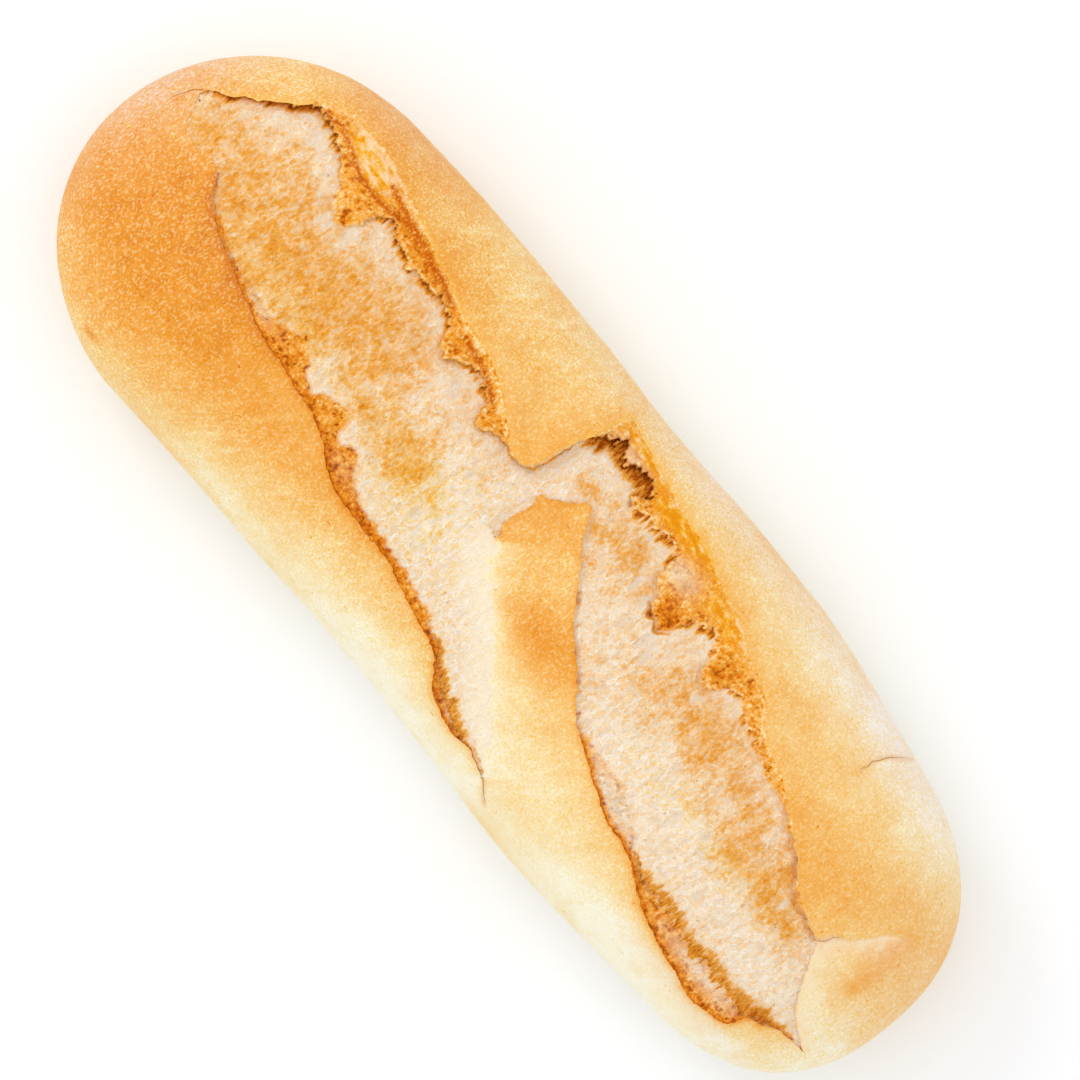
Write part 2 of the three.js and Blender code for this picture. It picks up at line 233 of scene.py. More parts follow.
SECOND_CREASE_GAP = (
    (138.5, -23.0, 1.0, 0.5), (133.0, -23.4, 3.0, 1.2), (128.0, -24.4, 5.0, 2.2), (120.0, -26.2, 6.5, 3.2),
    (110.0, -26.2, 7.0, 3.2), (100.0, -25.8, 7.0, 3.0), (90.0, -24.8, 6.0, 2.6), (82.0, -24.4, 5.0, 1.6),
    (77.0, -23.4, 3.2, 0.8), (70.0, -19.5, 2.4, 0.3), (65.0, -17.0, 2.0, 0.2), (60.0, -15.5, 1.8, 0.2),
    (50.0, -15.4, 1.6, 0.2), (42.0, -13.9, 1.3, 0.2), (35.0, -8.4, 1.2, 0.2), (25.0, -0.9, 1.2, 0.2),
    (16.0, 7.6, 1.2, 0.2), (9.0, 14.5, 1.0, 0.2), (3.9, 21.6, 1.0, 0.2),
)
FIRST_CREASE_GAP = (
    (37.6, -41.1, 0.7, 0.3), (30.0, -38.4, 3.0, 1.0), (25.0, -37.0, 4.0, 1.6), (20.0, -35.4, 4.5, 1.8),
    (15.0, -34.0, 4.5, 1.8), (10.0, -31.5, 4.0, 1.4), (5.0, -28.6, 3.5, 0.9), (-10.0, -24.2, 3.0, 0.4),
    (-20.0, -22.2, 3.5, 0.4), (-30.0, -20.7, 4.0, 0.4), (-36.0, -19.8, 4.2, 0.5), (-40.0, -18.0, 4.5, 0.5),
    (-45.0, -14.2, 4.5, 0.5), (-49.0, -15.3, 4.2, 0.5), (-54.0, -8.2, 4.0, 0.5), (-60.0, -11.0, 4.0, 0.5),
    (-64.0, -12.4, 4.0, 0.5), (-70.0, -8.7, 3.5, 0.4), (-76.0, -5.6, 3.0, 0.4), (-80.0, -7.4, 3.0, 0.4),
    (-90.0, -8.0, 2.6, 0.3), (-105.0, -5.2, 2.0, 0.3), (-115.0, -1.3, 1.6, 0.2), (-121.0, 4.3, 1.0, 0.2),
)
# Beside the flap and the tongue the crumb reaches the crust, with only a fine seam between them.
SEAM = 0.45
SEAM_GAP = 0.2
SEAM_DEPTH = (1.0, 1.0, 0.9, 0.15, 0.3)


def inset(rows, depth):
    """Rows of the crumb's edge a seam's width inside rows of the crust's edge."""
    rows = np.array(rows)
    ahead = np.gradient(rows[:, :2], axis=0)
    inward = np.column_stack((ahead[:, 1], -ahead[:, 0])) / np.hypot(*ahead.T)[:, None]
    return np.column_stack((rows[:, :2] + SEAM * inward, np.tile((depth, SEAM_GAP), (len(rows), 1))))


FLAP_GAP = inset(FLAP[:-1], SEAM_DEPTH[0])
TONGUE_TIP_GAP = inset(TONGUE_TIP, SEAM_DEPTH[1])
TONGUE_SIDE_GAP = inset(TONGUE_SIDE, SEAM_DEPTH[2])
TONGUE_FOOT_GAP = inset(TONGUE_FOOT, SEAM_DEPTH[3])
LEFT_TIP_GAP = inset(LEFT_TIP[:-1], SEAM_DEPTH[4])

# Each stretch of the two edges in turn, with how ragged it is, whether it is a lifted lip, and whether the
# crust there thins out into the crumb without an edge.
CRUST_EDGE = (
    (FIRST_LIP, 0.45, 1.0, 0.0), (NOTCH, 0.25, 1.0, 0.0), (SECOND_LIP, 0.4, 1.0, 0.0), (FLAP, 0.3, 0.0, 0.0),
    (SECOND_CREASE, 0.3, 0.0, 0.0), (TONGUE_TIP, 0.4, 0.0, 0.0), (TONGUE_SIDE, 0.6, 0.0, 0.0),
    (TONGUE_FOOT, 1.5, 0.0, 1.0), (FIRST_CREASE, 0.35, 0.0, 0.0), (LEFT_TIP, 0.5, 0.0, 0.7),
)
CRUMB_EDGE = (
    (FIRST_LIP_GAP, 0.8, 1.0, 0.0), (NOTCH_GAP, 0.5, 1.0, 0.0), (SECOND_LIP_GAP, 0.8, 1.0, 0.0),
    (FLAP_GAP, 0.2, 0.0, 0.0), (SECOND_CREASE_GAP, 0.7, 0.0, 0.0), (TONGUE_TIP_GAP, 0.2, 0.0, 0.0),
    (TONGUE_SIDE_GAP, 0.2, 0.0, 0.0), (TONGUE_FOOT_GAP, 0.2, 0.0, 1.0), (FIRST_CREASE_GAP, 0.9, 0.0, 0.0),
    (LEFT_TIP_GAP, 0.3, 0.0, 0.7),
)
EDGE_STEP = 0.32
# A torn edge wanders in long, middling and short waves: the height and length of each.
WANDERS = ((0.6, 7.0), (0.8, 2.2), (0.5, 0.9))


def smooth_run(rows, step):
    """A smooth line through rows of numbers, drawn every step of its plan, without the last row."""
    rows = np.array(rows)
    chord = np.hypot(*np.diff(rows[:, :2], axis=0).T)
    place = np.concatenate(([0], np.cumsum(chord)))
    slope = np.gradient(rows, place, axis=0, edge_order=1)
    at = np.linspace(0, place[-1], max(2, round(place[-1] / step)), endpoint=False)
    i = np.clip(np.searchsorted(place, at, side="right") - 1, 0, len(rows) - 2)
    span = (place[i + 1] - place[i])[:, None]
    t = (at - place[i])[:, None] / span
    ends = (1 + 2 * t) * (1 - t) ** 2 * rows[i] + t * t * (3 - 2 * t) * rows[i + 1]
    return ends + span * t * (1 - t) * ((1 - t) * slope[i] - t * slope[i + 1])


def ragged_loop(stretches, seed):
    """A torn edge as a closed loop of points, with the other columns of its rows and its two last values."""
    runs, roughness = [], []
    for rows, ragged, *kinds in stretches:
        run = smooth_run(rows, EDGE_STEP)
        runs.append(np.column_stack((run, np.tile(kinds, (len(run), 1)))))
        roughness.append(np.full(len(run), ragged))
    loop = np.concatenate(runs)
    along = np.arange(len(loop)) * EDGE_STEP
    ahead = np.roll(loop[:, :2], -3, axis=0) - np.roll(loop[:, :2], 3, axis=0)
    outward = np.column_stack((-ahead[:, 1], ahead[:, 0])) / np.hypot(*ahead.T)[:, None]
    wander = np.zeros(len(loop))
    for count, (height, length) in enumerate(WANDERS):
        wander += height * waves(along / length, along * 0, seed + 2 * count)
    loop[:, :2] += outward * (wander * np.concatenate(roughness))[:, None]
    return loop


crust_edge = ragged_loop(CRUST_EDGE, 3)
crumb_edge = ragged_loop(CRUMB_EDGE, 13)

# A fine plan grid of the loaf, with how far each place lies inside the two edges.
GRID_STEP = 0.37
grid_x = np.arange(-LENGTH / 2 - 2, LENGTH / 2 + 2, GRID_STEP)
grid_y = np.arange(-HALF_WIDTH - 3, HALF_WIDTH + 3, GRID_STEP)
plan_x, plan_y = np.meshgrid(grid_x, grid_y, indexing="ij")


def nearest_on(loop):
    """The point of the loop nearest to each place of the plan grid, and its distance."""
    points = np.column_stack((plan_x.ravel(), plan_y.ravel())).astype(np.float32)
    posts = loop[:, :2].astype(np.float32)
    reach = (posts**2).sum(1)
    nearest = np.empty(len(points), np.int64)
    block = 8192
    for start in range(0, len(points), block):
        part = points[start : start + block]
        nearest[start : start + block] = np.argmin(reach - 2 * part @ posts.T, axis=1)
    distance = np.full(len(points), np.inf)
    for step in (-1, 1):
        first, second = loop[nearest, :2], loop[(nearest + step) % len(loop), :2]
        along = second - first
        t = ((points - first) * along).sum(1) / np.maximum((along**2).sum(1), 1e-9)
        foot = first + np.clip(t, 0, 1)[:, None] * along
        distance = np.minimum(distance, np.hypot(*(points - foot).T))
    return nearest.reshape(plan_x.shape), distance.reshape(plan_x.shape)


def inside(loop):
    """Which places of the plan grid lie inside the loop, by counting its crossings along each line."""
    x1, y1 = loop[:, 0], loop[:, 1]
    x2, y2 = np.roll(x1, -1), np.roll(y1, -1)
    found = np.zeros(plan_x.shape, bool)
    for i, x in enumerate(grid_x):
        crossing = (x1 > x) != (x2 > x)
        at = y1[crossing] + (x - x1[crossing]) / (x2 - x1)[crossing] * (y2 - y1)[crossing]
        found[i] = np.searchsorted(np.sort(at), grid_y) % 2 == 1
    return found


crust_place, crust_distance = nearest_on(crust_edge)
depth_in = np.where(inside(crust_edge), crust_distance, -crust_distance)
crumb_place, crumb_distance = nearest_on(crumb_edge)
crumb_in = np.where(inside(crumb_edge), crumb_distance, -crumb_distance)
rise, lip, edgeless = (crust_edge[crust_place, column] for column in (2, 3, 4))
gap_depth, gap_width, gap_lip = (crumb_edge[crumb_place, column] for column in (2, 3, 4))
LIP_SPREAD = 9.0
CREASE_SPREAD = 5.0
spread = CREASE_SPREAD + (LIP_SPREAD - CREASE_SPREAD) * lip
lift = rise * np.exp(-((np.minimum(depth_in, 0) / spread) ** 2))
# A fold of the crust leads on from the corner of the second cut, its near side lying a little lower.
FOLD = (
    (137.0, -21.8), (132.0, -19.0), (128.5, -15.0), (125.0, -9.5), (121.0, -3.6), (123.9, 1.0), (127.1, 3.0),
    (129.6, 7.4), (131.6, 10.7), (134.8, 14.8),
)
FOLD_STEP = 0.35
FOLD_REACH = 4.6


def near_lines(lines):
    """How near each place of the plan lies to rows of x and y, from 1 on them to 0, by their half width."""
    share = np.zeros(plan_x.shape)
    for half_width, rows in lines:
        for (x1, y1), (x2, y2) in zip(rows[:-1], rows[1:]):
            run_x, run_y = x2 - x1, y2 - y1
            t = np.clip(((plan_x - x1) * run_x + (plan_y - y1) * run_y) / (run_x**2 + run_y**2), 0, 1)
            away_sq = (plan_x - x1 - t * run_x) ** 2 + (plan_y - y1 - t * run_y) ** 2
            share = np.maximum(share, np.exp(-away_sq / half_width**2))
    return share


fold_x = np.interp(plan_y, [row[1] for row in FOLD], [row[0] for row in FOLD])
past_fold = (plan_x - fold_x) + 0.5 * waves(plan_y / 1.6, plan_x * 0, 35)
along_fold = ease(16.0, 9.0, plan_y)
fold_high = ease(0.15, -0.15, past_fold) * np.exp(np.minimum(past_fold, 0) / 3)
fold_low = ease(-0.2, 0.2, past_fold) * np.exp(-np.maximum(past_fold, 0) / FOLD_REACH) * along_fold
lift += FOLD_STEP * fold_high * along_fold * ease(-9.0, -4.0, plan_y) * ease(100, 118, plan_x)


def plan_waves(along, across, seed, octaves=1):
    """Smooth random hills over the plan grid, of a size along the loaf and across it."""
    return waves(plan_x / along, plan_y / across, seed, octaves)


def from_plan(field, x, y):
    """A field of the plan grid read at any points."""
    fx = np.clip((x - grid_x[0]) / GRID_STEP, 0, len(grid_x) - 1.001)
    fy = np.clip((y - grid_y[0]) / GRID_STEP, 0, len(grid_y) - 1.001)
    ix, iy = fx.astype(int), fy.astype(int)
    tx, ty = fx - ix, fy - iy
    near = field[ix, iy] * (1 - tx) + field[ix + 1, iy] * tx
    far = field[ix, iy + 1] * (1 - tx) + field[ix + 1, iy + 1] * tx
    return near * (1 - ty) + far * ty


CRUST_RINGS = 440
DOME_SIDES = 210
SOLE_SIDES = 44
END_CROWDING = 0.6


def closed_rings(rings, tips):
    """Points and faces of a closed skin through rings of points, drawn to a tip at either end."""
    count, sides, _ = rings.shape
    points = np.concatenate((rings.reshape(-1, 3), tips))
    start = np.arange(count - 1)[:, None] * sides
    here = np.arange(sides)[None, :]
    there = (here + 1) % sides
    quads = np.stack((start + here, start + there, start + sides + there, start + sides + here), -1)
    last = (count - 1) * sides
    first_fan = [(count * sides, (k + 1) % sides, k) for k in range(sides)]
    last_fan = [(count * sides + 1, last + k, last + (k + 1) % sides) for k in range(sides)]
    return points, quads.reshape(-1, 4).tolist() + first_fan + last_fan


def loaf_skin():
    """The whole uncut loaf with its crust lifted beside the torn edge and gently uneven."""
    u = np.linspace(-1, 1, CRUST_RINGS + 2)[1:-1, None]
    x = LENGTH / 2 * ((1 - END_CROWDING) * u + END_CROWDING * np.sin(math.pi / 2 * u))
    dome_angles = math.pi * np.arange(DOME_SIDES) / DOME_SIDES
    sole_angles = math.pi + math.pi * np.arange(SOLE_SIDES) / SOLE_SIDES
    angle = np.concatenate((dome_angles, sole_angles))[None, :]
    c, s = np.cos(angle), np.sin(angle)
    power = np.where(s > 1e-9, 2 / DOME_POWER, 2 / SOLE_POWER)
    middle, half, crest, base = section_at(x)
    out = np.sign(c) * np.abs(c) ** power
    up = np.abs(s) ** power
    uneven = unevenness(x, angle)
    y = middle + half * out + uneven * c * end_share(x, END_WIDTH)
    raised = from_plan(lift, x + 0 * y, y) * np.minimum(1, 2 * up) + uneven * up
    z = np.where(s > 1e-9, BELLY + (crest - BELLY) * up + raised, BELLY - (BELLY - base) * up)
    rings = np.stack((np.broadcast_to(x, y.shape), y, np.maximum(z, 0)), -1)
    tips = np.array([[end, section_at(np.array(end))[0], BELLY] for end in (-LENGTH / 2, LENGTH / 2)])
    return closed_rings(rings, tips)


def mesh_object(name, points, faces):
    """A new object of the scene, from points in millimetres and faces."""
    mesh = bpy.data.meshes.new(name)
    mesh.from_pydata((np.asarray(points) * MM).tolist(), [], faces)
    mesh.update()
    made = bpy.data.objects.new(name, mesh)
    bpy.context.scene.collection.objects.link(made)
    return made


def positions_of(piece):
    """The vertices of a piece as columns x, y and z in millimetres."""
    flat = np.empty(len(piece.data.vertices) * 3, np.float32)
    piece.data.vertices.foreach_get("co", flat)
    return flat.reshape(-1, 3).astype(float).T / MM


def paint(piece, name, values):
    """Stores one value for each vertex, for the material to read."""
    layer = piece.data.attributes.new(name, "FLOAT", "POINT")
    layer.data.foreach_set("value", np.asarray(values, np.float32))


crust = mesh_object("crust", *loaf_skin())

# The opening in the crust reaches down into the bread, and the torn crumb fills it.
WELL_FLOOR = 20.0
WELL_TOP = 100.0


def cut_away(piece, cutter):
    """Takes the cutter's volume out of the piece, and the cutter out of the scene."""
    modifier = piece.modifiers.new("cut", "BOOLEAN")
    modifier.object = cutter
    modifier.operation = "DIFFERENCE"
    modifier.solver = "MANIFOLD"
    shape = bpy.data.meshes.new_from_object(piece.evaluated_get(bpy.context.evaluated_depsgraph_get()))
    piece.modifiers.clear()
    piece.data = shape
    bpy.data.objects.remove(cutter)


def well():
    """The upright well under the torn edge, as a cutter."""
    count = len(crust_edge)
    bottom = np.column_stack((crust_edge[:, :2], np.full(count, WELL_FLOOR)))
    top = np.column_stack((crust_edge[:, :2], np.full(count, WELL_TOP)))
    sides = [(k, k + count, (k + 1) % count + count, (k + 1) % count) for k in range(count)]
    caps = [tuple(range(count)), tuple(range(2 * count - 1, count - 1, -1))]
    return mesh_object("well", np.concatenate((bottom, top)), sides + caps)


cut_away(crust, well())

# Hairline cracks in the crust, as points with the width that each has there.
CRACKS = (
    ((-143.0, 7.0, 0.1), (-142.0, 9.5, 0.35), (-140.6, 12.0, 0.5), (-138.6, 14.2, 0.5)),
    ((121.0, -3.2, 0.7), (122.6, -1.6, 0.5), (123.2, 0.2, 0.3), (124.6, 1.8, 0.1)),
    ((102.0, 43.8, 0.1), (99.8, 41.8, 0.2), (97.5, 39.4, 0.3), (96.2, 36.4, 0.3), (95.7, 32.0, 0.1)),
    ((36.5, -40.8, 0.5), (38.8, -42.4, 0.4), (41.0, -44.4, 0.2), (42.6, -45.4, 0.1)),
)
CRACK_DEPTH = 0.45
CRACK_LEAST = 0.06  # width at a crack's ends
CRACK_WANDER = 0.35
CRACK_RISE = 2.2  # how far the wedge that cuts a crack stands out of the crust
CRACK_FLARE = 3  # how much wider the wedge is up there than the crack


def crack(rows):
    """A thin wedge along a crack, as a cutter."""
    run = smooth_run(rows, EDGE_STEP)
    along = np.arange(len(run)) * EDGE_STEP
    ahead = np.gradient(run[:, :2], axis=0)
    across = np.column_stack((-ahead[:, 1], ahead[:, 0])) / np.hypot(*ahead.T)[:, None]
    middle = run[:, :2] + across * (CRACK_WANDER * waves(along / 1.7, along * 0, 31))[:, None]
    half = np.maximum(run[:, 2], CRACK_LEAST)[:, None] / 2
    top = dome_at(*middle.T) + from_plan(lift, *middle.T)
    rings = np.stack((
        np.column_stack((middle + across * half * CRACK_FLARE, top + CRACK_RISE)),
        np.column_stack((middle - across * half * CRACK_FLARE, top + CRACK_RISE)),
        np.column_stack((middle, top - CRACK_DEPTH)),
    ), 1)
    return mesh_object("crack", *closed_rings(rings, np.array([rings[0].mean(0), rings[-1].mean(0)])))


for crack_rows in CRACKS:
    cut_away(crust, crack(crack_rows))

# How dark the crust is baked: soft patches of the plan as x, y, reach along and across, and weight.
BAKED_BASE = 0.45
BAKED_PATCHES = (
    (-116.0, -14.0, 32.0, 25.0, 0.72), (-144.0, 5.0, 12.0, 30.0, -0.14), (-75.0, -26.0, 34.0, 14.0, 0.30),
    (-95.0, 45.0, 35.0, 10.0, 0.16), (-20.0, 22.0, 14.0, 9.0, 0.16), (-60.0, 34.0, 42.0, 6.0, 0.18),
    (-2.0, 12.0, 10.0, 12.0, 0.24), (18.0, -8.0, 16.0, 8.0, 0.48), (112.0, 14.0, 24.0, 14.0, 0.21),
    (70.0, 30.0, 25.0, 7.0, 0.08), (136.6, 3.0, 3.6, 11.0, 0.22), (-45.0, -28.0, 25.0, 6.0, 0.10),
    (0.0, -46.0, 45.0, 10.0, -0.34), (60.0, -45.0, 60.0, 12.0, -0.10), (102.0, -43.0, 34.0, 9.0, -0.58),
    (48.0, -31.0, 22.0, 8.0, -0.14), (104.0, 44.0, 46.0, 10.0, -0.32), (126.5, -5.0, 4.5, 7.0, -0.16),
    (131.0, -16.0, 8.0, 5.0, -0.24), (-20.0, -38.0, 18.0, 10.0, -0.06), (124.0, 34.0, 14.0, 10.0, -0.24),
    (135.6, 10.5, 0.8, 2.2, 0.20), (-110.0, -46.2, 2.6, 0.7, 0.50), (15.0, 48.0, 50.0, 6.0, -0.20),
    (-55.0, 46.0, 22.0, 6.0, -0.08), (136.0, -4.0, 2.0, 3.0, 0.14),
    (144.0, -24.0, 9.0, 15.0, -0.42), (128.0, -37.0, 11.0, 8.0, -0.20), (-60.0, -47.0, 20.0, 5.0, -0.22),
    (30.0, -47.0, 14.0, 5.0, -0.12), (86.0, 45.0, 13.0, 6.0, -0.15), (-40.0, 47.0, 14.0, 6.0, 0.18),
    (-80.0, 48.0, 14.0, 5.0, 0.08), (127.0, 17.0, 8.0, 8.0, 0.05), (-148.0, 0.0, 6.0, 12.0, -0.12),
)
# Where the crust has a pink cast, and where pale streaks run over it.
BLUSHED_PATCHES = (
    (-149.0, 8.0, 16.0, 45.0, 0.75), (-122.0, -4.0, 26.0, 34.0, 0.16), (-108.0, 50.0, 28.0, 9.0, 0.6),
    (20.0, 50.0, 60.0, 7.0, 0.42), (110.0, -37.0, 20.0, 3.0, 0.25), (105.0, 46.0, 40.0, 14.0, 0.36),
    (147.0, 10.0, 11.0, 26.0, 0.26), (128.0, 22.0, 12.0, 10.0, 0.12),
)
STREAKED_PATCHES = (
    (-55.0, 42.0, 24.0, 10.0, 1.0), (-66.0, -34.0, 24.0, 12.0, 0.9), (110.0, -40.0, 30.0, 6.0, 0.4),
)
# Where the grain of the crust is strong, besides its plain strength.
GRAIN_BASE = 0.62
GRAINY_PATCHES = (
    (-125.0, -5.0, 40.0, 60.0, 0.6), (-60.0, 42.0, 50.0, 14.0, 0.3), (-30.0, -32.0, 60.0, 8.0, 0.2),
    (10.0, 0.0, 24.0, 16.0, 0.25), (10.0, 46.0, 40.0, 8.0, 0.2), (20.0, -47.0, 80.0, 9.0, -0.3),
    (110.0, -42.0, 40.0, 8.0, -0.3),
)


def patches(x, y, rows):
    """Soft patches of the plan added up, at any points."""
    total = np.zeros(np.shape(x))
    for px, py, rx, ry, weight in rows:
        total += weight * np.exp(-(((x - px) / rx) ** 2) - ((y - py) / ry) ** 2)
    return total


# The flank of the round end is paler low down, between these places of y and of x.
PALE_FLANK = 0.22
FLANK_Y = (-42.0, -49.0)
FLANK_X = (-60.0, -130.0)
BAKED_DRIFT = 0.09
# A thinned edge is the foot of the tongue to the right of these places of x, and is paler there.
FOOT_X = (-60.0, -40.0)
THINNED_REACH = 12.0
FOOT_REACH = 6.0
FOOT_PALENESS = 0.75
FADE_SHARE = 0.35
FADE_REACH = 2.2
# The side grows paler down to its foot, and turns into the browned sole between two heights.
SIDE_FOOT = 8.0
SIDE_PALENESS = 0.35
SOLE_HEIGHTS = (3.5, 0.2)
SOLE_BAKED = 0.74
TOP_HEIGHTS = (BELLY, BELLY + 6.0)  # heights where the side turns into the top
BLUSH_HEIGHTS = (BELLY - 18.0, BELLY + 6.0)
# Beside a gap the torn edge is dark in a line, less on a lip, with a wider glow behind it.
# The dark line and the glow are partly scorched crust and partly painted shade beside the gap.
DEEP_GAP = 6.0  # beside a gap as deep as this, it is scorched in full
SCORCH_SHADE_LINE = 0.85
SCORCH_SHADE_LINE_REACH = 0.9
LIP_SPARED = 0.8
SCORCH_SHADE_GLOW = 0.5
SCORCH_SHADE_GLOW_REACH = 5.0
# A painted highlight: a thin golden line along the edge of a lip beside a deep gap, its strength and reach.
RIM_HIGHLIGHT_SHARE = 0.75
RIM_HIGHLIGHT_REACH = 0.7
# Painted shade along the hairline cracks: its strength and half width.
CRACK_SHADE = 0.5
CRACK_SHADE_WIDTH = 0.55
STREAK_BASE = 0.15


def paint_crust():
    """Stores the crust's bake, scorch, thinning, cracks, grain, streaks, painted shade and highlights."""
    x, y, z = positions_of(crust)
    baked = BAKED_BASE + patches(x, y, BAKED_PATCHES) - PALE_FLANK * ease(*FLANK_Y, y) * ease(*FLANK_X, x)
    baked += BAKED_DRIFT * waves(x / 16, y / 12, 41, 2)
    away = np.maximum(-from_plan(depth_in, x, y), 0)
    thinned = from_plan(edgeless, x, y) * np.exp(-away / THINNED_REACH)
    near_foot = thinned * np.exp(-away / FOOT_REACH) * ease(*FOOT_X, x)
    baked *= 1 - FOOT_PALENESS * near_foot
    side = ease(BELLY, SIDE_FOOT, z)
    sole = ease(*SOLE_HEIGHTS, z)
    sole_baked = SOLE_BAKED + 0.1 * waves(x / 9, y / 9, 45, 3)
    baked = baked * (1 - SIDE_PALENESS * side) * (1 - sole) + sole * sole_baked
    paint(crust, "baked", np.clip(baked, 0, 1))
    on_top = ease(*TOP_HEIGHTS, z) * (1 - thinned)
    deep = from_plan(np.clip(gap_depth / DEEP_GAP, 0, 1), x, y)
    on_lip = from_plan(lip, x, y)
    # Scorched crust and painted shade along the torn edge, darker beside a deeper gap.
    edge_scorch = SCORCH_SHADE_LINE * (1 - LIP_SPARED * on_lip) * np.exp(-away / SCORCH_SHADE_LINE_REACH)
    edge_scorch += SCORCH_SHADE_GLOW * np.exp(-away / SCORCH_SHADE_GLOW_REACH)
    paint(crust, "scorch_and_shade", on_top * (0.35 + 0.65 * deep) * edge_scorch)
    # Painted shade along the cracks.
    cracked = near_lines([(CRACK_SHADE_WIDTH, [row[:2] for row in rows]) for rows in CRACKS])
    paint(crust, "cracked", CRACK_SHADE * on_top * from_plan(cracked, x, y))
    folded = fold_low * (0.7 + 0.5 * plan_waves(1.6, 2.6, 37, 2))
    folded *= ease(118, 121, plan_x) * ease(-30, -18, plan_y)
    paint(crust, "folded", on_top * from_plan(folded, x, y))
    paint(crust, "faded", FADE_SHARE * thinned * np.exp(-away / FADE_REACH) * ease(*FOOT_X, x))
    paint(crust, "grainy", (GRAIN_BASE + patches(x, y, GRAINY_PATCHES)) * (1 - 0.25 * near_foot))
    # A painted highlight along the edge of each lip.
    paint(crust, "rim", RIM_HIGHLIGHT_SHARE * on_top * deep * on_lip * np.exp(-away / RIM_HIGHLIGHT_REACH))
    paint(crust, "blush", ease(*BLUSH_HEIGHTS, z) * patches(x, y, BLUSHED_PATCHES))
    paint(crust, "streaked", np.clip(STREAK_BASE + on_top * patches(x, y, STREAKED_PATCHES), 0, 1))


paint_crust()

STUDIO_LIGHT = 1.08  # how much light falls on the loaf, with 1 for a white that just reaches full level


def srgb(*levels, light=1.0):
    """The shader's own values for a colour seen in a share of the studio light, from screen levels."""
    share = np.array(levels) / 255
    linear = np.where(share <= 0.04045, share / 12.92, ((share + 0.055) / 1.055) ** 2.4)
    return (*(linear / STUDIO_LIGHT / light).tolist(), 1.0)


def tones(rows, light=1.0):
    """The stops of a ramp, from rows of a place on it and the screen levels there."""
    return [(place, srgb(*levels, light=light)) for place, *levels in rows]


def add_node(tree, kind, inputs=None, **settings):
    """A node with its settings, and its inputs as plain values or as sockets to link from."""
    node = tree.nodes.new(kind)
    for name, value in settings.items():
        setattr(node, name, value)
    for name, value in (inputs or {}).items():
        if isinstance(value, bpy.types.NodeSocket):
            tree.links.new(value, node.inputs[name])
        else:
            node.inputs[name].default_value = value
    return node


def add_ramp(tree, factor, stops):
    """A run of colours along a value."""
    node = add_node(tree, "ShaderNodeValToRGB", {"Fac": factor})
    ramp = node.color_ramp
    for place, colour in stops[1:-1]:
        ramp.elements.new(place).color = colour
    ramp.elements[0].position, ramp.elements[0].color = stops[0]
    ramp.elements[-1].position, ramp.elements[-1].color = stops[-1]
    return node.outputs["Color"]


def add_math(tree, operation, first, second, third=0.0):
    """The outcome of a sum of two or three values."""
    inputs = {0: first, 1: second, 2: third}
    return add_node(tree, "ShaderNodeMath", inputs, operation=operation).outputs[0]


def add_times(tree, first, second):
    """One value times another."""
    return add_math(tree, "MULTIPLY", first, second)


def add_to(tree, base, value, weight):
    """The base with a share of a value added to it."""
    return add_math(tree, "MULTIPLY_ADD", value, weight, base)


def add_mix(tree, factor, first, second, blend="MIX"):
    """The first colour with the second one blended into it by the factor."""
    inputs = {0: factor, 6: first, 7: second}
    return add_node(tree, "ShaderNodeMix", inputs, data_type="RGBA", blend_type=blend).outputs[2]


def add_range(tree, value, from_low, from_high, to_low=0.0, to_high=1.0):
    """How far the value has come from one level to another, eased at both ends."""
    inputs = {0: value, 1: from_low, 2: from_high, 3: to_low, 4: to_high}
    return add_node(tree, "ShaderNodeMapRange", inputs, interpolation_type="SMOOTHSTEP").outputs[0]


def add_noise(tree, place, size, detail=1.0, turn=0.0):
    """Smooth noise from 0 to 1 whose hills measure the size, in millimetres, along each turned axis."""
    mapping = {"Vector": place, "Rotation": (0, 0, turn), "Scale": [width * MM for width in size]}
    sized = add_node(tree, "ShaderNodeMapping", mapping, vector_type="TEXTURE").outputs[0]
    inputs = {"Vector": sized, "Scale": 1.0, "Detail": detail}
    return add_node(tree, "ShaderNodeTexNoise", inputs).outputs["Fac"]


def baked_grain():
    """The grain of stretched dough, in short strokes across the loaf: pale flecks, dark pits, a mottle."""
    tree = bpy.data.node_groups.new("baked_grain", "ShaderNodeTree")
    for name in ("Flecks", "Pits", "Mottle", "Height"):
        tree.interface.new_socket(name, in_out="OUTPUT", socket_type="NodeSocketFloat")
    place = add_node(tree, "ShaderNodeTexCoord").outputs["Object"]
    strokes = add_noise(tree, place, (0.42, 0.8, 0.8), 1.0)
    dots = add_noise(tree, place, (0.62, 0.9, 0.9), 1.5)
    mottle = add_noise(tree, place, (1.9, 3.2, 3.2), 2.0)
    flecks = add_range(tree, dots, 0.46, 0.72)
    pits = add_range(tree, strokes, 0.47, 0.31)
    height = add_math(tree, "ADD", strokes, mottle)
    given_back = tree.nodes.new("NodeGroupOutput")
    for name, value in (("Flecks", flecks), ("Pits", pits), ("Mottle", mottle), ("Height", height)):
        tree.links.new(value, given_back.inputs[name])
    return tree


def attribute(tree, name):
    """A value that was painted on the piece."""
    return add_node(tree, "ShaderNodeAttribute", attribute_name=name).outputs["Fac"]


def new_material(name):
    """An empty material with a Principled shader on its output."""
    material = bpy.data.materials.new(name)
    material.use_nodes = True
    tree = material.node_tree
    tree.nodes.clear()
    shader = add_node(tree, "ShaderNodeBsdfPrincipled")
    add_node(tree, "ShaderNodeOutputMaterial", {"Surface": shader.outputs["BSDF"]})
    return material, tree, shader


def drift(tree, value, noise, weight):
    """The value moved up and down by a noise about its middle."""
    return add_to(tree, add_math(tree, "SUBTRACT", value, weight / 2), noise, weight)


grain_group = baked_grain()

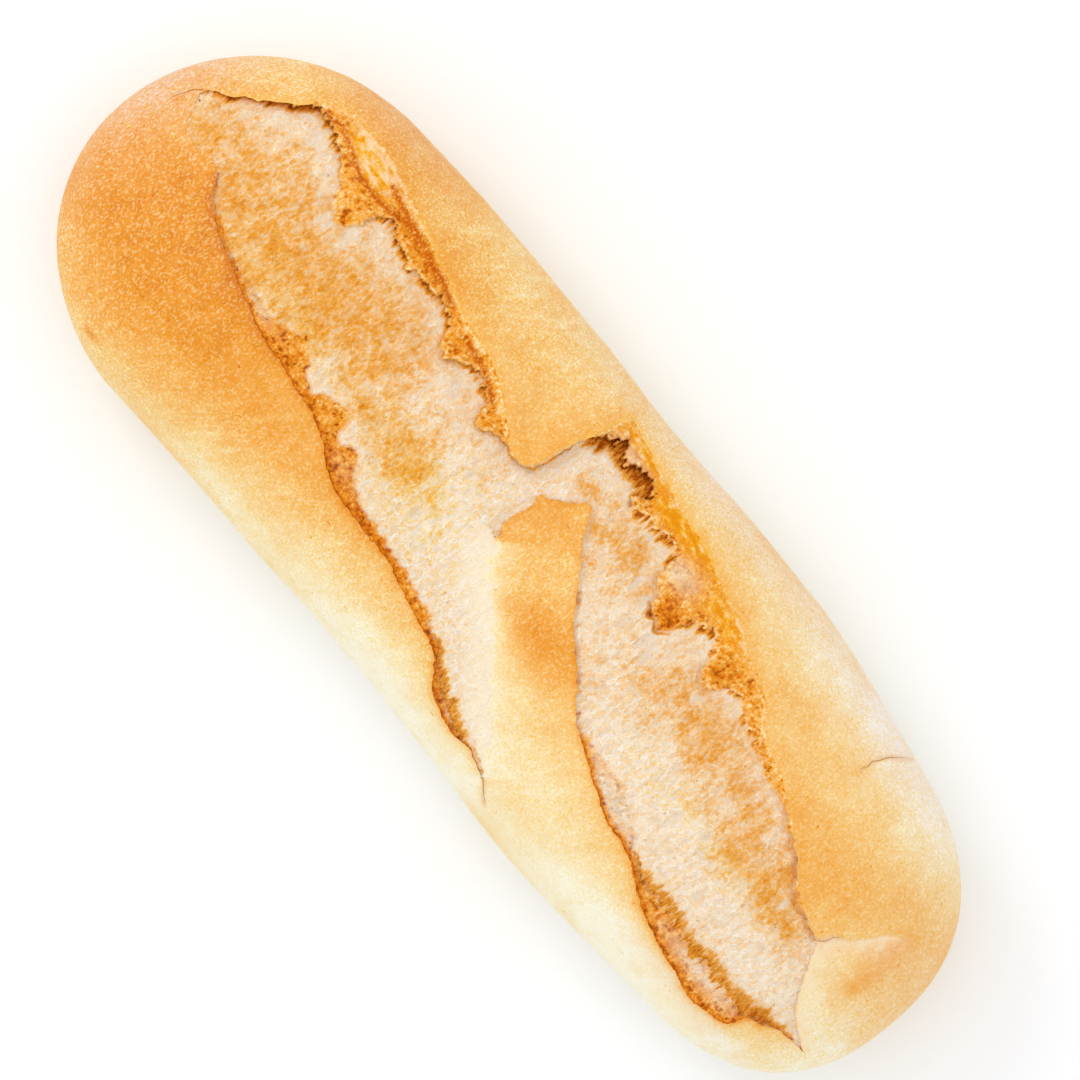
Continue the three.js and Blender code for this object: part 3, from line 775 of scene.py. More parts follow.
CRUST_TONES = tones((
    (0.0, 253, 246, 223), (0.12, 251, 233, 193), (0.23, 250, 221, 166), (0.38, 248, 203, 131),
    (0.48, 246, 189, 106), (0.57, 244, 176, 83), (0.68, 240, 162, 57), (0.8, 235, 150, 28),
    (1.0, 218, 122, 8),
))
TONE_SHARE = 0.8  # how far along these tones a fully baked crust comes
# The colour of the painted highlight along the lips.
RIM_HIGHLIGHT_TONE = srgb(253, 202, 88)
CALM_TONE = srgb(252, 236, 204)  # where the crust thins out into the crumb
FOLD_TONE = srgb(254, 236, 208)
CRACK_SHADE_TONE = srgb(226, 160, 84)
FLECK_TINT = (0.04, 0.15, 0.14, 1.0)
PIT_TINT = (0.95, 0.83, 0.08, 1.0)
BLUSH_TINT = (0.9, 0.72, 1.05, 1.0)
STREAK_TURN = math.radians(50.7)
SHARP_EDGE = math.radians(50)  # a sharper bend of the crust is shown as an edge
# How much darker, or paler, each of these makes the crust.
SCORCH_SHADE_WEIGHT = 0.45
MOTTLE_WEIGHT = 0.38
BROAD_WEIGHT = 0.3
FLECK_WEIGHT = -0.1
PIT_WEIGHT = 0.05
SPECK_WEIGHT = 0.4
STREAK_WEIGHT = -0.22


def crust_material():
    """Baked dough from cream to deep gold: grain, scorched edges, painted shade and highlights, pink cast.
    """
    material, tree, shader = new_material("baked_crust")
    grain = add_node(tree, "ShaderNodeGroup", node_tree=grain_group).outputs
    place = add_node(tree, "ShaderNodeTexCoord").outputs["Object"]
    grainy = attribute(tree, "grainy")
    mottle = add_times(tree, add_math(tree, "SUBTRACT", grain["Mottle"], 0.5), grainy)
    flecks = add_times(tree, grain["Flecks"], grainy)
    pits = add_times(tree, grain["Pits"], grainy)
    broad = add_noise(tree, place, (6.0, 9.0, 9.0), 2.0)
    specks = add_range(tree, add_noise(tree, place, (1.3, 1.3, 1.3), 0.0), 0.8, 0.88)
    streaks = add_range(tree, add_noise(tree, place, (22.0, 2.2, 22.0), 2.0, STREAK_TURN), 0.5, 0.8)
    streaks = add_times(tree, streaks, attribute(tree, "streaked"))
    # Scorched crust and painted shade along the torn edges.
    level = add_to(tree, attribute(tree, "baked"), attribute(tree, "scorch_and_shade"), SCORCH_SHADE_WEIGHT)
    level = add_to(tree, level, mottle, MOTTLE_WEIGHT)
    level = drift(tree, level, broad, BROAD_WEIGHT)
    level = add_to(tree, level, flecks, FLECK_WEIGHT)
    level = add_to(tree, level, pits, PIT_WEIGHT)
    level = add_to(tree, level, specks, SPECK_WEIGHT)
    level = add_to(tree, level, streaks, STREAK_WEIGHT)
    tone = add_ramp(tree, add_times(tree, level, TONE_SHARE), CRUST_TONES)
    tone = add_mix(tree, attribute(tree, "blush"), tone, BLUSH_TINT, "MULTIPLY")
    tone = add_mix(tree, flecks, tone, FLECK_TINT, "ADD")
    tone = add_mix(tree, pits, tone, PIT_TINT, "MULTIPLY")
    # The painted highlight along the edges of the lips.
    tone = add_mix(tree, attribute(tree, "rim"), tone, RIM_HIGHLIGHT_TONE)
    tone = add_mix(tree, attribute(tree, "faded"), tone, CALM_TONE)
    tone = add_mix(tree, attribute(tree, "folded"), tone, FOLD_TONE)
    # Painted shade along the hairline cracks.
    tone = add_mix(tree, attribute(tree, "cracked"), tone, CRACK_SHADE_TONE)
    relief = {"Strength": 0.08, "Distance": 0.2 * MM, "Height": grain["Height"]}
    bump = add_node(tree, "ShaderNodeBump", relief)
    tree.links.new(tone, shader.inputs["Base Color"])
    tree.links.new(bump.outputs["Normal"], shader.inputs["Normal"])
    tree.links.new(add_range(tree, level, 0.2, 0.9, 0.72, 0.55), shader.inputs["Roughness"])
    shader.inputs["Specular IOR Level"].default_value = 0.25
    return material


crust.data.materials.clear()
crust.data.materials.append(crust_material())
crust.data.shade_smooth()
crust.data.set_sharp_from_angle(angle=SHARP_EDGE)
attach(crust, "root")
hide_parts("loaf")

# The torn crumb
# The soft inside of the loaf where the crust tore away from it: stretched strands and open cells of
# bread, toasted where they stood up in the oven. It swells up between the torn walls under the lips.

STEP = 0.3  # how far the torn wall starts below a plain edge of the crust
LIP_STEP = 0.0  # and below a lip, which rolls over into it
SAG = 0.7  # how far the top of the crumb lies below the uncut dome
LEDGE_FALL = 2.4  # how far the torn ledge under a lip slopes down to its edge
LONG_LEDGE = 8.0  # a ledge longer than this hangs further down
LONG_FALL = 0.22  # by this share of its length past that
CLIMB = 0.9  # how far the crumb needs to climb out of a gap under a lip, besides the gap's own width
CREASE_FALL = 0.6  # how much of a gap's depth the wall under a crease falls
LIP_CURVE = 1.5  # how late a ledge under a lip falls
CREASE_CURVE = 0.7  # and under a crease
GAP_SHARE = 0.42  # how much of a gap's full depth is open
CRUMB_MARGIN = 1.4  # how far the crumb reaches past the edge of the crust, under it or over it
CRUMB_FLOOR = 21.0  # height of the hidden underside of the crumb
FLUSH_REACH = 6.0  # how far in from a thinned edge the crumb is level with the dome
NARROW_GAP = 0.25  # how much of its depth a narrow gap keeps
WIDE_GAP = (1.2, 3.0)  # widths where a gap starts to be deeper than that, and has its full depth
OPEN_GAP = (0.2, 0.9)  # widths where a seam starts to be a gap, and is one
DIP_SHARE = 0.4  # depth of a valley without a gap, as a share of the depth given there
DEEPEST_DIP = 1.0
HELD_BACK = 0.4  # how far below its ledge the crumb starts
BRIDGE_SHARE = 0.75  # how far up the strands that bridge a gap start
FILM = 0.07  # thickness of the crumb that runs over the edge of the crust
# Large open cells with smooth walls, as x, y and half sizes; shade is painted in them.
WINDOWS = (
    (-94.2, 16.8, 2.0, 2.6), (-87.6, 18.5, 1.7, 4.5), (24.2, 18.5, 1.1, 2.6), (29.5, 18.0, 1.2, 2.0),
    (37.5, 12.0, 2.2, 2.6), (40.2, 9.0, 1.6, 2.0), (75.0, -11.4, 1.3, 2.4), (83.6, -8.0, 1.1, 1.6),
    (66.0, -3.0, 0.9, 1.8), (94.0, -19.0, 0.8, 1.6), (109.0, -4.0, 0.9, 1.5), (56.0, 11.5, 1.0, 1.6),
    (-23.0, 5.6, 1.2, 2.2), (-41.7, 15.6, 1.8, 2.2), (-23.7, -11.8, 1.2, 1.6), (-111.5, 28.0, 2.2, 1.8),
)

# The torn wall: beside an open gap it is a ledge that falls from the crust's edge to its own torn edge, and
# where there is no gap it is a shallow valley that leads over to the crumb.
strand_rag = 0.65 * plan_waves(0.75, 4, 61) + 0.5 * plan_waves(1.9, 6, 62)
crumb_in = crumb_in + strand_rag * ease(0.3, 1.5, gap_width) * ease(3.5, 1.0, np.abs(crumb_in))
dome = dome_at(plan_x, plan_y)
flush = edgeless * np.exp(-np.maximum(depth_in, 0) / FLUSH_REACH)
brim = dome + lift - (STEP + (LIP_STEP - STEP) * lip) * (1 - edgeless)
gap_floor = dome - GAP_SHARE * gap_depth * (NARROW_GAP + (1 - NARROW_GAP) * ease(*WIDE_GAP, gap_width))
summit = dome - SAG * (1 - flush)
into = np.maximum(depth_in, 0)
short = np.maximum(-crumb_in, 0)
open_gap = ease(*OPEN_GAP, gap_width)
by_lip = gap_lip > 0.5
openness = np.maximum(open_gap, gap_lip)
fringe = 0.45 - 1.1 * np.abs(plan_waves(1.9, 6, 79))
fringe += 0.3 * plan_waves(0.8, 3, 80)
ragged_gap = gap_width * np.clip(1 + fringe, 0.15, 1.8)
past_ledge = crumb_in + ragged_gap
ledge_share = np.clip(into / np.maximum(into + short - ragged_gap, 0.3), 0, 1)
long_fall = LONG_FALL * np.maximum(into + short - LONG_LEDGE, 0)
ledge_fall = np.where(by_lip, LEDGE_FALL + long_fall, CREASE_FALL * gap_depth)
ledge = brim - ledge_fall * ledge_share ** np.where(by_lip, LIP_CURVE, CREASE_CURVE)
dip = np.minimum(DIP_SHARE * gap_depth, DEEPEST_DIP)
valley_share = ease(0, 1, ledge_share)
wall_slope = brim + (summit - brim) * valley_share - 3 * dip * valley_share * (1 - valley_share)
soft_edge = 0.15 + 0.5 * (1 - open_gap)
on_wall = ease(soft_edge, -soft_edge, past_ledge) * ease(0.5, 1.6, into + short) * (1 - edgeless)

# Thin ridges and ragged holes of the wall, and the smooth stretched skin that is left in places.
SMOOTH_WALLS = (
    (-96.0, 34.5, 9.0, 4.0, 1.2), (-104.0, 36.5, 6.0, 2.5, 0.6), (22.0, 36.5, 17.0, 4.5, 1.2),
    (46.0, 30.0, 12.0, 4.5, 0.9), (0.0, 40.8, 10.0, 2.8, 1.1),
)
smooth_wall = np.clip(patches(plan_x, plan_y, SMOOTH_WALLS), 0, 1)
smooth_wall = smooth_wall * ease(0.95, 0.6, ledge_share) * on_wall
# Where the crust rolled over before it tore, a smooth dark ridge runs along the wall.
ROLLS = (
    (0.7, ((-116.0, 33.2), (-110.0, 35.0), (-103.0, 32.6), (-97.0, 30.4), (-90.0, 29.9), (-84.0, 31.0))),
    (1.2, ((-82.0, 32.2), (-78.0, 31.8), (-74.0, 31.0), (-70.0, 30.2), (-64.0, 29.4))),
    (0.7, ((-90.0, 35.0), (-84.0, 33.6), (-78.0, 32.6), (-64.0, 29.4), (-58.0, 27.6))),
    (0.7, ((-48.0, 24.6), (-40.0, 23.4), (-33.0, 20.0))),
)
roll = near_lines(ROLLS) * on_wall
lace = 1 - np.abs(plan_waves(1.5, 1.3, 77, 3)) * 1.6
holes = ease(-0.3, -0.62, plan_waves(1.3, 1.1, 78, 2)) * (1 - roll)
relief_share = (1 - 0.85 * smooth_wall) * (1 - 0.7 * roll)
wall_relief = relief_share * (0.6 * (lace - 0.6) - 0.7 * holes) * ease(0, 1.0, into) + 0.7 * roll
torn = wall_slope + (ledge - wall_slope) * openness + on_wall * wall_relief

# The crumb: it swells up out of the gap in strands that run across the cut.
ledge_end = summit + (brim - ledge_fall - summit) * openness
pillow_foot = np.minimum(ledge_end, summit) - HELD_BACK * openness
pillow_foot += (gap_floor - pillow_foot) * open_gap
bridged = ease(0.05, 0.45, plan_waves(0.8, 6, 68)) * ease(2.6, 1.2, gap_width) * gap_lip
pillow_foot += BRIDGE_SHARE * (summit - pillow_foot) * bridged * open_gap
climb_under_lip = np.clip(past_ledge / (ragged_gap + CLIMB), 0, 1)
climb_from_crease = ease(-0.35 - 0.58 * gap_width, 0.3 + 0.53 * gap_width, crumb_in)
climb = np.where(by_lip, climb_under_lip, climb_from_crease)
bent = plan_x + 1.6 * plan_waves(13, 20, 63) + 0.5 * plan_waves(4, 8, 65)
strands = 1 - np.abs(waves(bent / 1.1, plan_y / 5.5, 67, 2))
bundles = waves(bent / 2.6, plan_y / 8, 69, 2)
swells = waves(bent / 9, plan_y / 13, 71, 2)
window_rag = 0.45 * plan_waves(0.9, 3, 75)
windows = np.zeros(plan_x.shape)
for window_x, window_y, half_x, half_y in WINDOWS:
    off_window = np.hypot((plan_x - window_x) / half_x, (plan_y - window_y) / half_y)
    windows = np.maximum(windows, ease(1.4, 0.6, off_window + window_rag))
fibres = (0.4 * (strands - 0.6) + 0.2 * bundles) * (1 - 0.6 * windows) + 0.5 * swells - 0.35 * windows
pillow = pillow_foot + (summit - pillow_foot) * climb
pillow += fibres * (0.3 + 0.7 * climb) * (1 - 0.7 * flush)
# Along a torn lip, and where the crust thins out, the crumb runs over the edge of the crust in a film.
film = np.maximum(edgeless, lip * ease(1.0, 2.5, short))
crumb_top = np.where(past_ledge > 0, pillow, torn) + FILM * film * ease(1.5, 0.0, into)
crumb_top -= 0.8 * (1 - film) * ease(0.1, -0.6, depth_in) + 0.35 * film * ease(-0.2, -1.4, depth_in)
steepness = np.hypot(*np.gradient(crumb_top, GRID_STEP))


def crumb_solid():
    """The torn surface as a closed solid that stands in the well of the crust."""
    kept = depth_in > -CRUMB_MARGIN
    cell = kept[:-1, :-1] & kept[1:, :-1] & kept[:-1, 1:] & kept[1:, 1:]
    i, j = np.nonzero(cell)
    columns = len(grid_y)
    here = i * columns + j
    beside = here + columns
    corners = np.stack((here, beside, beside + 1, here + 1), -1)
    used, faces = np.unique(corners, return_inverse=True)
    points = np.stack((plan_x, plan_y, crumb_top), -1).reshape(-1, 3)[used]
    made = mesh_object("crumb", points, faces.reshape(-1, 4).tolist())
    shape = bmesh.new()
    shape.from_mesh(made.data)
    rim = [edge for edge in shape.edges if edge.is_boundary]
    skirt = bmesh.ops.extrude_edge_only(shape, edges=rim)
    for part in skirt["geom"]:
        if isinstance(part, bmesh.types.BMVert):
            part.co.z = CRUMB_FLOOR * MM
    lower = [part for part in skirt["geom"] if isinstance(part, bmesh.types.BMEdge) and part.is_boundary]
    bmesh.ops.edgeloop_fill(shape, edges=lower)
    bmesh.ops.recalc_face_normals(shape, faces=shape.faces)
    shape.to_mesh(made.data)
    shape.free()
    return made


crumb = crumb_solid()

# Where the crumb is toasted, and where it is paler than elsewhere.
TOASTED_PATCHES = (
    (-100.0, 2.0, 34.0, 11.0, 0.57), (-114.0, 19.0, 16.0, 12.0, 0.20), (-70.0, 13.0, 30.0, 14.0, 0.36),
    (-132.0, 9.0, 7.0, 6.0, 0.25), (-37.0, -6.0, 12.0, 8.0, 0.33), (0.0, 28.0, 10.0, 6.0, 0.22),
    (-10.0, -14.0, 20.0, 10.0, 0.02), (-88.0, 6.0, 46.0, 20.0, 0.04), (-42.0, 2.0, 20.0, 16.0, 0.04),
    (18.0, 22.0, 15.0, 8.0, 0.46), (40.0, 5.0, 16.0, 12.0, 0.16), (76.0, 6.0, 29.0, 13.0, 0.25),
    (94.0, -4.0, 13.0, 7.0, 0.30), (112.0, -7.0, 11.0, 7.0, 0.40), (62.0, 10.0, 15.0, 8.0, 0.30),
    (104.0, 1.0, 9.0, 7.0, 0.16), (-57.0, -8.0, 11.0, 6.0, 0.12), (8.0, -20.0, 16.0, 9.0, -0.22),
    (-60.0, -2.0, 34.0, 9.0, 0.06), (90.0, -19.0, 30.0, 6.0, -0.32), (60.0, -10.0, 12.0, 8.0, -0.20),
)
PLAIN_TOAST = 0.2
ZONE_TOAST = 0.52
CORE_TOAST = 0.12
CALM_REACH = 5.5  # how far in from a thinned edge the crumb is calm
# Places of the torn wall that are pale inside bread, and places that are browned dark.
PALE_WALLS = (
    (-92.0, -9.5, 8.0, 2.5, 1.0), (62.0, -20.0, 20.0, 5.0, 1.0), (110.0, -30.5, 12.0, 2.4, 0.9),
    (24.0, -39.0, 12.0, 2.0, 0.8), (-42.0, -19.0, 8.0, 3.0, 0.12), (30.5, 28.6, 5.0, 3.4, 0.75),
    (-2.0, 38.0, 7.0, 2.0, 0.5),
)
DARK_WALLS = (
    (-78.0, -8.0, 5.0, 4.0, 0.5), (-40.0, -20.0, 18.0, 4.0, 0.6), (36.0, 19.5, 5.0, 4.0, 2.2),
    (54.0, 19.0, 5.0, 4.0, 0.7), (-52.0, 22.0, 4.0, 4.0, 0.4), (-91.0, 21.0, 2.5, 2.5, 1.0),
    (-72.0, 30.5, 12.0, 2.5, 0.9), (-108.0, 35.0, 6.0, 2.0, 0.4), (-94.0, 28.0, 8.0, 4.0, 0.5),
)
# Painted shade: gaps darker than the others, and how dark the gaps along a crease and steep edges are.
DARKER_GAP_SHADE = ((5.0, 35.0, 3.0, 2.5, 1.0), (16.0, 31.0, 6.0, 2.0, 0.5), (44.0, 25.0, 6.0, 2.5, 0.9))
CREASE_GAP_SHADE = 0.68
STEEP_EDGE_SHADE = 0.5
# Where the toasted fibres are yellow.
YELLOWED_PATCHES = (
    (-18.0, -10.0, 24.0, 14.0, 1.0), (74.0, -9.0, 28.0, 4.0, 0.8), (-85.0, -5.0, 34.0, 5.0, 0.5),
)
# Hollows beside the tongue that the light reaches less.
SHADED_PATCHES = ((-9.6, 4.0, 2.0, 6.0, 0.9), (-7.6, -1.6, 2.2, 2.4, 0.7))


def paint_crumb():
    """Stores where the crumb is toasted, calm, torn, smooth, rolled, painted with shade and highlights."""
    x, y, _ = positions_of(crumb)
    paint(crumb, "yellowed", patches(x, y, YELLOWED_PATCHES))
    zone = patches(x, y, TOASTED_PATCHES)
    toast = PLAIN_TOAST + ZONE_TOAST * ease(-0.02, 0.5, zone + 0.22 * waves(x / 4.5, y / 6, 81, 3))
    toast += CORE_TOAST * ease(0.5, 1.0, zone)
    calm = from_plan(edgeless * np.exp(-((into / CALM_REACH) ** 2)), x, y) * ease(*FOOT_X, x)
    toast *= 1 - 0.8 * calm
    paint(crumb, "liveliness", 1 - 0.4 * calm)
    paint(crumb, "calm", 0.4 * calm)
    paint(crumb, "toast", np.clip(toast * (1 - 0.5 * from_plan(windows, x, y)), 0, 1))
    pale_wall = np.clip(patches(x, y, PALE_WALLS), 0, 1) * from_plan(ease(0.5, 2.0, into), x, y)
    paint(crumb, "torn_wall", from_plan(on_wall, x, y) * (1 - pale_wall))
    wall_level = 0.38 + 0.36 * from_plan(lace, x, y) - 0.4 * from_plan(holes, x, y)
    wall_level -= 0.25 * patches(x, y, DARK_WALLS)
    wall_level -= 0.4 * from_plan(np.exp(-into / 1.3) * (1 - gap_lip), x, y)
    wall_level += 0.22 * from_plan(ease(0.75, 1.0, ledge_share) * gap_lip, x, y)
    # A painted highlight: the torn wall is paler right at the edge of a lip.
    wall_level += 0.25 * from_plan(np.exp(-np.abs(depth_in) / 0.5) * gap_lip, x, y)
    paint(crumb, "lace", np.clip(wall_level, 0, 1))
    paint(crumb, "smooth_wall", from_plan(smooth_wall * (1 - roll), x, y))
    # The stretched skin is paler towards the round end, with a painted highlight along the crust's edge.
    paint(crumb, "skin_paleness_and_highlight", ease(5, -20, x) + 1.1 * from_plan(np.exp(-into / 0.9), x, y))
    paint(crumb, "rolled", from_plan(roll, x, y))
    # Painted shade in the open gaps, less where strands bridge them, and on the steep faces at their edges.
    gap_shade = np.where(past_ledge > 0, open_gap * (1 - climb) ** 0.8, 0) * ease(1.0, 3.5, gap_depth)
    gap_shade *= 1 - 0.85 * bridged
    gap_shade *= np.where(by_lip, 1 + 0.5 * patches(plan_x, plan_y, DARKER_GAP_SHADE), CREASE_GAP_SHADE)
    steep_edge = ease(1.0, 2.6, steepness) * ease(-0.9, -0.3, past_ledge) * ease(-0.2, 0.6, depth_in)
    gap_shade = np.maximum(gap_shade, STEEP_EDGE_SHADE * steep_edge)
    paint(crumb, "gap_shade", from_plan(gap_shade, x, y))
    # Painted shade under the lips and in the large open cells.
    under_lip = 0.5 * np.exp(-np.maximum(crumb_in, 0) / 4) * gap_lip * ease(1.0, 4.0, gap_depth)
    shaded = from_plan(np.maximum(windows, under_lip), x, y) + patches(x, y, SHADED_PATCHES)
    paint(crumb, "shaded", np.clip(shaded, 0, 1))


paint_crumb()

# How much of the studio light reaches the crumb, the torn walls, the skin left on them and the gaps.
CRUMB_LIGHT = 0.952
WALL_LIGHT = 0.905
SKIN_LIGHT = 0.95
GAP_LIGHT = 0.9
CRUMB_TONES = tones((
    (0.0, 252, 242, 226), (0.1, 250, 234, 210), (0.2, 248, 224, 188), (0.3, 246, 212, 166),
    (0.41, 244, 198, 141), (0.5, 242, 187, 119), (0.59, 240, 178, 98), (0.7, 238, 168, 74),
    (0.84, 232, 153, 42), (1.0, 218, 130, 18),
), CRUMB_LIGHT)
WALL_TONES = tones((
    (0.0, 176, 88, 8), (0.2, 208, 110, 10), (0.4, 226, 136, 24), (0.6, 237, 160, 54),
    (0.8, 243, 184, 100), (1.0, 249, 216, 160),
), WALL_LIGHT)
SKIN_TONES = tones((
    (0.32, 234, 145, 6), (0.43, 241, 163, 26), (0.5, 244, 177, 57), (0.55, 245, 184, 82),
    (0.63, 245, 194, 124), (0.76, 248, 212, 166),
), SKIN_LIGHT)
ROLL_TONES = tones(((0.25, 196, 88, 2), (0.5, 218, 116, 10), (0.75, 236, 152, 44)), SKIN_LIGHT)
# The colours of the painted shade in the gaps.
GAP_SHADE_TONES = tones((
    (0.0, 244, 208, 156), (0.35, 232, 166, 74), (0.7, 212, 134, 34), (1.0, 166, 82, 6),
), GAP_LIGHT)
# The colour of painted shade in the crumb's hollows, in its cells and under the lips.
DENT_SHADE_TONE = srgb(230, 204, 177)
PIT_TONE = srgb(198, 148, 94)
THIN_TONE = srgb(252, 237, 205, light=CRUMB_LIGHT)  # where the crumb runs out into thin crust
YELLOW_TINT = (1.0, 1.0, 0.62, 1.0)
FIBRE_SHADE = (0.88, 0.86, 0.885, 1.0)
# How brown the crumb is, and how much browner, or paler, each of these makes it.
PLAIN_LEVEL = 0.14
TOAST_WEIGHT = 0.48
THREAD_WEIGHT = 0.45
CELL_WALL_WEIGHT = -0.15
SOFT_FLECK_WEIGHT = -0.12
SOFT_PIT_WEIGHT = 0.12
GOLD_WEIGHT = 0.38
CELL_WEIGHT = 0.2
SWIRL_SIZE = 2.0  # size of the bends in the cells


def add_cells(tree, place, size, bend):
    """Long bent cells of bread: how far a place lies from their walls, and a level of its own for each."""
    noise = {"Vector": place, "Scale": 1 / (SWIRL_SIZE * MM), "Detail": 1.0}
    swirl = add_node(tree, "ShaderNodeTexNoise", noise).outputs["Color"]
    bending = {0: swirl, 1: (bend * MM, bend * MM, bend * MM), 2: place}
    bent_place = add_node(tree, "ShaderNodeVectorMath", bending, operation="MULTIPLY_ADD").outputs[0]
    mapping = {"Vector": bent_place, "Scale": [width * MM for width in size]}
    sized = add_node(tree, "ShaderNodeMapping", mapping, vector_type="TEXTURE").outputs[0]
    inputs = {"Vector": sized, "Scale": 1.0}
    walls = add_node(tree, "ShaderNodeTexVoronoi", inputs, feature="DISTANCE_TO_EDGE")
    cells = add_node(tree, "ShaderNodeTexVoronoi", inputs)
    return walls.outputs["Distance"], cells.outputs["Color"]


def crumb_material():
    """Torn bread: the soft crumb, the browned walls beside it and the painted shade in the gaps."""
    material, tree, shader = new_material("torn_crumb")
    grain = add_node(tree, "ShaderNodeGroup", node_tree=grain_group).outputs
    place = add_node(tree, "ShaderNodeTexCoord").outputs["Object"]

    # The soft crumb: threads and cells of bread, golden in feathers where it is toasted.
    toasted = attribute(tree, "toast")
    liveliness = attribute(tree, "liveliness")
    wall_distance, cell_level = add_cells(tree, place, (1.1, 2.4, 2.0), 1.2)
    cell_walls = add_range(tree, wall_distance, 0.12, 0.02)
    threads = add_noise(tree, place, (0.45, 1.9, 1.3), 2.5)
    feathers = add_noise(tree, place, (2.8, 4.6, 3.6), 4.0)
    feathers = add_math(tree, "ADD", feathers, add_noise(tree, place, (0.85, 1.4, 1.2), 3.0))
    gold_start = add_to(tree, 1.18, toasted, -0.6)
    gold = add_range(tree, feathers, gold_start, add_math(tree, "ADD", gold_start, 0.5))
    relief = add_times(tree, add_math(tree, "SUBTRACT", threads, 0.5), THREAD_WEIGHT)
    relief = add_to(tree, relief, cell_walls, CELL_WALL_WEIGHT)
    relief = add_to(tree, relief, grain["Flecks"], SOFT_FLECK_WEIGHT)
    relief = add_to(tree, relief, grain["Pits"], SOFT_PIT_WEIGHT)
    relief = add_to(tree, relief, gold, GOLD_WEIGHT)
    relief = drift(tree, relief, cell_level, CELL_WEIGHT)
    level = add_to(tree, PLAIN_LEVEL, toasted, TOAST_WEIGHT)
    level = add_to(tree, level, relief, liveliness)
    soft = add_ramp(tree, level, CRUMB_TONES)
    between_threads = add_times(tree, add_range(tree, threads, 0.62, 0.32), liveliness)
    soft = add_mix(tree, between_threads, soft, FIBRE_SHADE, "MULTIPLY")
    # Painted shade in small random hollows, in the large cells, under the lips and beside the tongue.
    dent_shade = add_range(tree, add_noise(tree, place, (1.7, 3.4, 2.4), 2.0), 0.52, 0.72)
    dent_shade = add_times(tree, dent_shade, add_to(tree, 0.5, gold, -0.5))
    dent_shade = add_times(tree, dent_shade, liveliness)
    dent_shade = add_to(tree, dent_shade, attribute(tree, "shaded"), 0.5)
    soft = add_mix(tree, dent_shade, soft, DENT_SHADE_TONE)
    pits = add_range(tree, add_noise(tree, place, (0.8, 1.4, 1.4), 0.0), 0.76, 0.88)
    pits = add_times(tree, pits, add_times(tree, liveliness, 0.6))
    soft = add_mix(tree, pits, soft, PIT_TONE)
    yellow = add_times(tree, attribute(tree, "yellowed"), add_range(tree, level, 0.14, 0.4))
    soft = add_mix(tree, yellow, soft, YELLOW_TINT, "MULTIPLY")
    soft = add_mix(tree, attribute(tree, "calm"), soft, THIN_TONE)

    # The torn walls: browned lace, with stretched skin and dark rolled ridges in places.
    lace_level = drift(tree, attribute(tree, "lace"), grain["Mottle"], 0.8)
    lace_level = add_to(tree, lace_level, grain["Flecks"], 0.3)
    lace_level = add_to(tree, lace_level, grain["Pits"], -0.2)
    wall = add_ramp(tree, lace_level, WALL_TONES)
    skin_level = add_to(tree, -0.26, add_noise(tree, place, (3.2, 1.5, 2.0), 4.0, -0.25), 1.35)
    skin_level = drift(tree, skin_level, grain["Flecks"], 0.15)
    # Paler skin, and a painted highlight along the crust's edge.
    skin_level = add_to(tree, skin_level, attribute(tree, "skin_paleness_and_highlight"), 0.2)
    wall = add_mix(tree, attribute(tree, "smooth_wall"), wall, add_ramp(tree, skin_level, SKIN_TONES))
    rolled = add_times(tree, attribute(tree, "rolled"), add_to(tree, 1.0, grain["Flecks"], -0.45))
    roll_level = drift(tree, grain["Mottle"], grain["Flecks"], 0.4)
    roll_level = add_to(tree, roll_level, grain["Pits"], -0.3)
    wall = add_mix(tree, rolled, wall, add_ramp(tree, roll_level, ROLL_TONES))
    tone = add_mix(tree, attribute(tree, "torn_wall"), soft, wall)

    # The gaps: painted shade between the strands that reach down into them.
    streaks = add_noise(tree, place, (0.6, 2.4, 2.4), 2.0)
    gap_shade_level = add_times(tree, attribute(tree, "gap_shade"), add_to(tree, -0.3, streaks, 2.6))
    gap_shade_level = add_times(tree, gap_shade_level, add_to(tree, 0.2, feathers, 0.8))
    tone = add_mix(tree, add_range(tree, gap_shade_level, 0.02, 0.45), tone, add_ramp(tree, gap_shade_level, GAP_SHADE_TONES))

    height = add_to(tree, add_math(tree, "ADD", threads, grain["Height"]), cell_walls, 0.8)
    bump = add_node(tree, "ShaderNodeBump", {"Strength": 0.5, "Distance": 0.25 * MM, "Height": height})
    tree.links.new(tone, shader.inputs["Base Color"])
    tree.links.new(bump.outputs["Normal"], shader.inputs["Normal"])
    shader.inputs["Roughness"].default_value = 0.85
    shader.inputs["Specular IOR Level"].default_value = 0.12
    return material


crumb.data.materials.append(crumb_material())
crumb.data.shade_smooth()
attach(crumb, "root")
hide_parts("loaf")

# The studio
# A plain white floor under broad soft light from above and from the pale side of the loaf, and a camera
# straight above with the loaf lying across its view from corner to corner.

FLOOR_HALF = 30.0  # metres from the middle of the floor to its sides
FLOOR_TONE = (0.945, 0.96, 0.99, 1.0)
ROOM_LIGHT = 0.96  # strength of the light from all round

